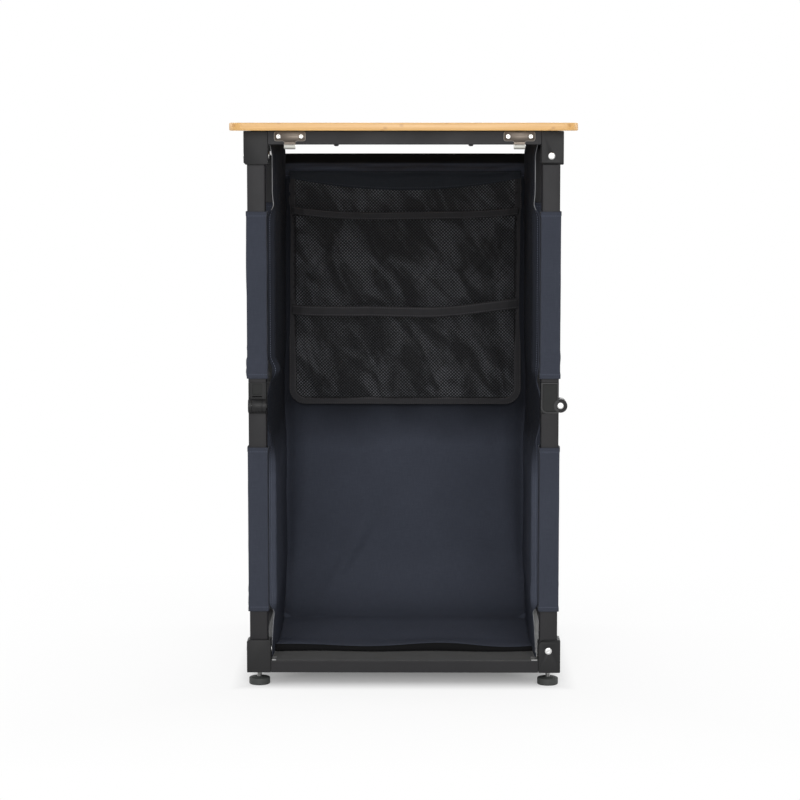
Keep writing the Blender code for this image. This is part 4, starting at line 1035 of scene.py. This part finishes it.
def strand_net(name, surface, z_low, z_high, step=0.0075):
    """Diagonal strands both ways over a surface(x, z, lift), each a four-sided tube clipped to its span."""
    rings, last_rows = [], set()
    tall = 0.37
    for sign in (1, -1):
        lift = 0.0003 * sign
        start = -NET_HALF - tall
        while start < NET_HALF + tall:
            points = []
            count = int(2 * tall / step)
            for i in range(count + 1):
                z = z_low + tall * i / count
                x = start + sign * (z - z_low)
                if abs(x) <= NET_HALF and z <= z_high(x) and inside_edge(x, z) > 0.0035:
                    points.append((x, z))
                elif points:
                    break
            start += MESH_PITCH
            if len(points) < 2:
                continue
            for x, z in points:
                here = surface(x, z, lift)
                run = surface(x + sign * 0.002, z + 0.002, lift) - here
                across = surface(x + 0.002, z - sign * 0.002, lift) - here
                normal = run.cross(across).normalized() * (STRAND_DEPTH / 2)
                across = across.normalized() * (STRAND_WIDTH / 2)
                rings.append(ring([here + out for out in (across, normal, -across, -normal)]))
            last_rows.add(len(rings) - 1)
    # all the strands are laid in one go, and the faces from each one's end to the next one's start cut away
    bm = bmesh.new()
    row_of = laid(bm, rings)
    between = [face for face in bm.faces if min(row_of[vert] for vert in face.verts) in last_rows]
    bmesh.ops.delete(bm, geom=between, context="FACES")
    settle(crumple(solid(sealed(bm), name, "black_mesh", smooth=0)), "base", "black_mesh", "organiser")


def tape(name, path, width):
    """A flat binding tape: path holds (centre, across) pairs; its face is crowned between its edges."""
    crown, lanes, uv_width = 0.0006, 6, 0.0104
    run, rows, runs = 0.0, [], []
    for k, (centre, across) in enumerate(path):
        before, after = path[max(k - 1, 0)][0], path[min(k + 1, len(path) - 1)][0]
        run += (centre - before).length
        normal = (after - before).cross(across).normalized()
        if normal.y > 0:
            normal = -normal
        shares = [lane / lanes - 0.5 for lane in range(lanes + 1)]
        rows.append([centre + across * width * share + normal * crown * (1 - (2 * share) ** 4)
                     for share in shares])
        runs.append(run)
    bm = bmesh.new()
    laid(bm, rows, uv_of=lambda row, lane: (runs[row], uv_width * lane / lanes))
    obj = solid(bm, name, "binding", smooth=0)
    thicken(obj, 0.0012)
    settle(crumple(obj), "base", "black_mesh")


def binding_outline(width):
    """The binding's middle line as (x, z, across), down the left, along the bottom and up the right."""
    middle, low, corner = ORG_HALF - width / 2, ORG_LOW + width / 2, ORG_CORNER - width / 2
    top = ORG_TOP + 0.002
    rise = top - low - corner

    def bend(centre_x, start):
        for k in range(1, 9):
            x, z = math.cos(math.radians(start + 90 * k / 8)), math.sin(math.radians(start + 90 * k / 8))
            yield centre_x + corner * x, low + corner + corner * z, (-x, -z)

    left = [(-middle, top - rise * k / 40, (1, 0)) for k in range(41)]
    bottom = [(-middle + corner + 2 * (middle - corner) * k / 40, low, (0, 1)) for k in range(1, 41)]
    right = [(middle, low + corner + rise * k / 40, (-1, 0)) for k in range(1, 41)]
    return [*left, *bend(corner - middle, 180), *bottom, *bend(middle - corner, 270), *right]


def organiser():
    """The mesh of the head panel and of the two pocket rows, with the binding tapes."""
    def head_point(x, z, lift):
        return Vector((x, panel_y(x, z) - 0.0022 - 0.0012 * math.sin(26 * x + 30 * z) ** 2 - lift, z))

    strand_net("organiser_head_net", head_point, POCKETS["upper"]["ends"] - 0.016,
               lambda x: 0.714 - 0.019 * (1 - (x / ORG_HALF) ** 2))
    for kind in POCKETS:
        strand_net(f"organiser_{kind}_net", lambda x, z, lift: pocket_point(kind, x, z, lift),
                   POCKETS[kind]["low"], lambda x: pocket_top(kind, x) - 0.004, step=0.0068)
    width = 0.0110
    path = []
    for x, z, (across_x, across_z) in binding_outline(width):
        lean = 0.0035 * bump(z, 0.40, 0.11)
        path.append((Vector((x, panel_y(x, z) - 0.0016 - lean, z)), Vector((across_x, 0, across_z))))
    tape("organiser_binding", path, width)
    reach = NET_HALF + 0.001
    for kind, pocket in POCKETS.items():
        path = []
        for k in range(121):
            x = -reach + 2 * reach * k / 120
            z = pocket_top(kind, x) - pocket["tape"] / 2
            path.append((pocket_point(kind, x, z, 0.0009), Vector((0, 0, 1))))
        tape(f"organiser_{kind}_tape", path, pocket["tape"])


def organiser_back():
    """The cloth back of the organiser, seen through its mesh."""
    inset, tall, bound = 0.004, 0.345, 0.169

    def point_of(across, along):
        x, z = (2 * across - 1) * (ORG_HALF - inset), ORG_LOW + inset + tall * along
        cut = ORG_CORNER * (1 - ease(along, 0.0, 0.12)) * ease(abs(x), ORG_HALF - ORG_CORNER, ORG_HALF)
        # its edge stays behind the binding where the wall comes forward to the side walls
        return Vector((x, panel_y(max(-bound, min(bound, x)), z), z + cut * 0.45))

    obj = cloth_grid("organiser_back_cloth", 90, 90, point_of, (0.352, tall), "back_cloth", 0.0008)
    settle(crumple(obj), "base", "navy_cloth")


def top_band():
    """The organiser's solid head band, whose lower edge sags in the middle under the rolled hem."""
    def point_of(across, along):
        x = (2 * across - 1) * (ORG_HALF - 0.002)
        low = 0.706 - 0.019 * (1 - (x / ORG_HALF) ** 2)
        z = low + (0.7165 - low) * along
        return Vector((x, panel_y(x, z) - 0.0044 - 0.0012 * math.sin(math.pi * along), z))

    obj = cloth_grid("organiser_head_band", 90, 10, point_of, (0.356, 0.024), "head_cloth", 0.0010)
    settle(crumple(obj), "base", "black_mesh")


# near-black bands along the rear sheet: one along its top edge, and one over the hem's turned-down fold as
# painted shade
WALL_DARK_BANDS = (REAR_LENGTH - 0.0165, REAR_LENGTH - 0.0140), (0.0080, 0.0074)
SIDE_STITCHES, REAR_STITCHES = (0.005, 0.018), (0.010, REAR_LENGTH - 0.034)
MATERIALS |= {
    "wall_cloth": woven("navy_wall", tint(NAVY, 1.12)[:3], WEAVE, SIDE_STITCHES, stitch_axis=0),
    # inside of the side walls: a paler navy low down as painted light, and painted shade from about the middle
    # up to the top
    "wall_inside_painted_light_and_shade": woven("inner_navy_wall_painted_light_and_shade", tint(NAVY, 1.62)[:3], WEAVE, SIDE_STITCHES, stitch_axis=0,
                         lining=(0.86, 0.80)),
    "rear_cloth": woven("navy_rear", tint(NAVY, 1.2)[:3], WEAVE, REAR_STITCHES, dark_bands=WALL_DARK_BANDS),
    # inside of the rear sheet: painted light paling the cloth floor, and painted shade from about the middle
    # of the wall up to below the roll
    "rear_inside_painted_light_and_shade": woven("inner_navy_rear_painted_light_and_shade", tint(NAVY, 1.2)[:3], WEAVE, REAR_STITCHES, dark_bands=WALL_DARK_BANDS,
                         painted_floor_light=0.27, lining=(0.84, 0.704)),
    # the organiser's backing, with painted shade in slanted patches for the folds of the mesh in front
    "back_cloth": woven("organiser_backing", (0.165, 0.170, 0.185), WEAVE, patches=0.75),
    "head_cloth": woven("head_band", (0.023, 0.026, 0.032), WEAVE, (0.003,)),
}


# Stage, light and camera
def seen_directly(tree):
    """1 for rays from the camera, a mirror or glass, and 0 for the light's."""
    path = node(tree, "LightPath")
    sharp = node(tree, "Math", {0: path["Is Glossy Ray"], 1: path["Is Transmission Ray"]},
                 operation="MAXIMUM")[0]
    return node(tree, "Math", {0: path["Is Camera Ray"], 1: sharp}, operation="MAXIMUM")[0]


def stage():
    """A pale floor that fades to white away from the object's shadow, under a white world."""
    bm = bmesh.new()
    bmesh.ops.create_grid(bm, x_segments=1, y_segments=1, size=9)
    floor = placed("floor", meshed(bm, "floor"))
    paint = Paint("pale_floor", 0.85, Specular_IOR_Level=0.1, Base_Color=(0.91, 0.91, 0.91, 1))
    x, y, _ = paint.split(paint.node("VectorMath", {0: paint.place()}, operation="ABSOLUTE")[0])
    square = paint.math("MAXIMUM", x, y)
    # the share of plain white, by distance from the middle: low under the base, nearly full beside it
    white = 0.0
    for start, end, low, high in ((0.085, 0.175, 0.06, 0.26), (0.200, 0.245, 0.0, 0.62),
                                  (0.25, 0.70, 0.0, 0.12)):
        white = paint.plus(white, paint.spread(square, start, end, low, high))
    glow = paint.node("Emission", {"Color": (1, 1, 1, 1), "Strength": 1.0})[0]
    share = paint.times(white, seen_directly(paint.tree))
    blend = paint.node("MixShader", {0: share, 1: paint.shader.outputs[0], 2: glow})[0]
    out = next(n for n in paint.tree.nodes if n.type == "OUTPUT_MATERIAL")
    paint.tree.links.new(blend, out.inputs["Surface"])
    floor.data.materials.append(paint.material)

    world = bpy.context.scene.world or bpy.data.worlds.new("studio")
    bpy.context.scene.world = world
    world.use_nodes = True
    tree = world.node_tree
    tree.nodes.clear()
    soft, bright = (node(tree, "Background", {"Color": (1, 1, 1, 1), "Strength": power})[0]
                    for power in (0.13, 1.0))
    blend = node(tree, "MixShader", {0: seen_directly(tree), 1: soft, 2: bright})[0]
    tree.links.new(blend, tree.nodes.new("ShaderNodeOutputWorld").inputs["Surface"])


def lamp(name, place, target, size, power):
    """A rectangular area light that faces its target."""
    light = bpy.data.lights.new(name, "AREA")
    light.shape, light.size, light.size_y, light.energy = "RECTANGLE", size[0], size[1], power
    obj = placed(name, light)
    obj.location = place
    obj.rotation_euler = (Vector(target) - Vector(place)).to_track_quat("-Z", "Y").to_euler()


def camera():
    """A long lens level with the top and tilted down, for the photo's view."""
    data = bpy.data.cameras.new("camera")
    obj = placed("camera", data)
    data.lens, data.sensor_width = 110.5, 36.0
    down, left = 6.36, 0.42
    obj.location = (0.020, -3.62, 0.785)
    obj.rotation_euler = (math.radians(90 - down), 0, math.radians(left))
    bpy.context.scene.camera = obj


camera()
stage()
lamp("front_softbox", (0.10, -6.9, 4.1), (0, 0, 0.40), (5.2, 4.0), 310)
lamp("level_softbox", (0.0, -7.5, 1.1), (0, 0, 0.50), (1.2, 0.9), 120)
lamp("overhead_softbox", (0.0, 0.9, 3.1), (0, 0.1, 0.4), (2.2, 2.2), 24)
lamp("left_softbox", (-3.3, 0.9, 1.7), (0, 0, 0.4), (1.8, 1.8), 42)
lamp("right_softbox", (3.3, 0.9, 1.7), (0, 0, 0.4), (1.8, 1.8), 42)
lamp("rear_softbox", (0.4, 3.4, 1.7), (0, 0, 0.4), (1.8, 1.8), 42)
settle(tabletop(), "top_frame", "bamboo", "tabletop")
at_corners(top_corner, "top_block", "black_plastic", "top_frame", "top_corner_*")
at_corners(base_corner, "base_block", "black_plastic", "base", "base_corner_*")
at_corners(lambda name: pin_shape(name, (LEG_X, TOP_PIVOT_Z), BLOCK_HALF), "top_pin", "steel", "top_frame",
           "top_pivot_pin_*")
at_corners(lambda name: pin_shape(name, (LEG_X, BASE_PIVOT_Z), BLOCK_HALF), "base_pin", "steel", "base",
           "base_pivot_pin_*")
at_corners(lambda name: pin_shape(name, (KNEE_X, KNEE_Z), KNEE_GRIP), "knee_pin", "steel", "lower_leg_*",
           "knee_lower_fitting_*")
at_corners(knee_lower, "knee_core", "black_plastic", "lower_leg_*", "knee_lower_fitting_*")
at_corners(knee_upper, "knee_shell", "black_plastic", "upper_leg_*", "knee_upper_fitting_*")
at_corners(lambda name: leg_tube(name, BASE_PIVOT_Z, LOWER_TUBE_TOP), "lower_tube", "black_metal",
           "lower_leg_*", "lower_leg_tube_*")
at_corners(lambda name: leg_tube(name, TOP_PIVOT_Z, UPPER_TUBE_LOW), "upper_tube", "black_metal",
           "upper_leg_*", "upper_leg_tube_*")
at_corners(foot_disc, "foot_disc", "foot_rubber", "foot_*", "foot_*")
at_corners(foot_stem, "foot_stem", "steel", "foot_*", "foot_*")
hook_plate("left", RAIL_LOW_X - GAP + PLATE_INSET)
hook_plate("right", RAIL_HIGH_X + GAP - PLATE_INSET)
rail_screw("left", -0.093)
rail_screw("right", 0.093)
for number, (corner, degrees) in enumerate(CORNER_TURNS.items()):
    for kind, seed in (("lower", 1.7 + 2.3 * number), ("upper", 9.1 + 3.7 * number)):
        sleeve(kind, corner, SLEEVE_LOW[kind], degrees, f"{kind}_leg_{corner}", seed)
side_wall("left", -1)
side_wall("right", 1)
rear_wall()
organiser_back()
top_band()
organiser()
for name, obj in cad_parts.items():
    if not obj.hide_render:
        finish = "shelf_board" if name == "base_shelf" else "black_metal"
        obj.data.materials.clear()
        obj.data.materials.append(MATERIALS[finish])
        eased = obj.modifiers.new("eased", "BEVEL")
        eased.width, eased.segments, eased.limit_method = 0.0003, 2, "ANGLE"
        eased.angle_limit = math.radians(50)

scene = bpy.context.scene
scene.view_settings.view_transform = "Standard"
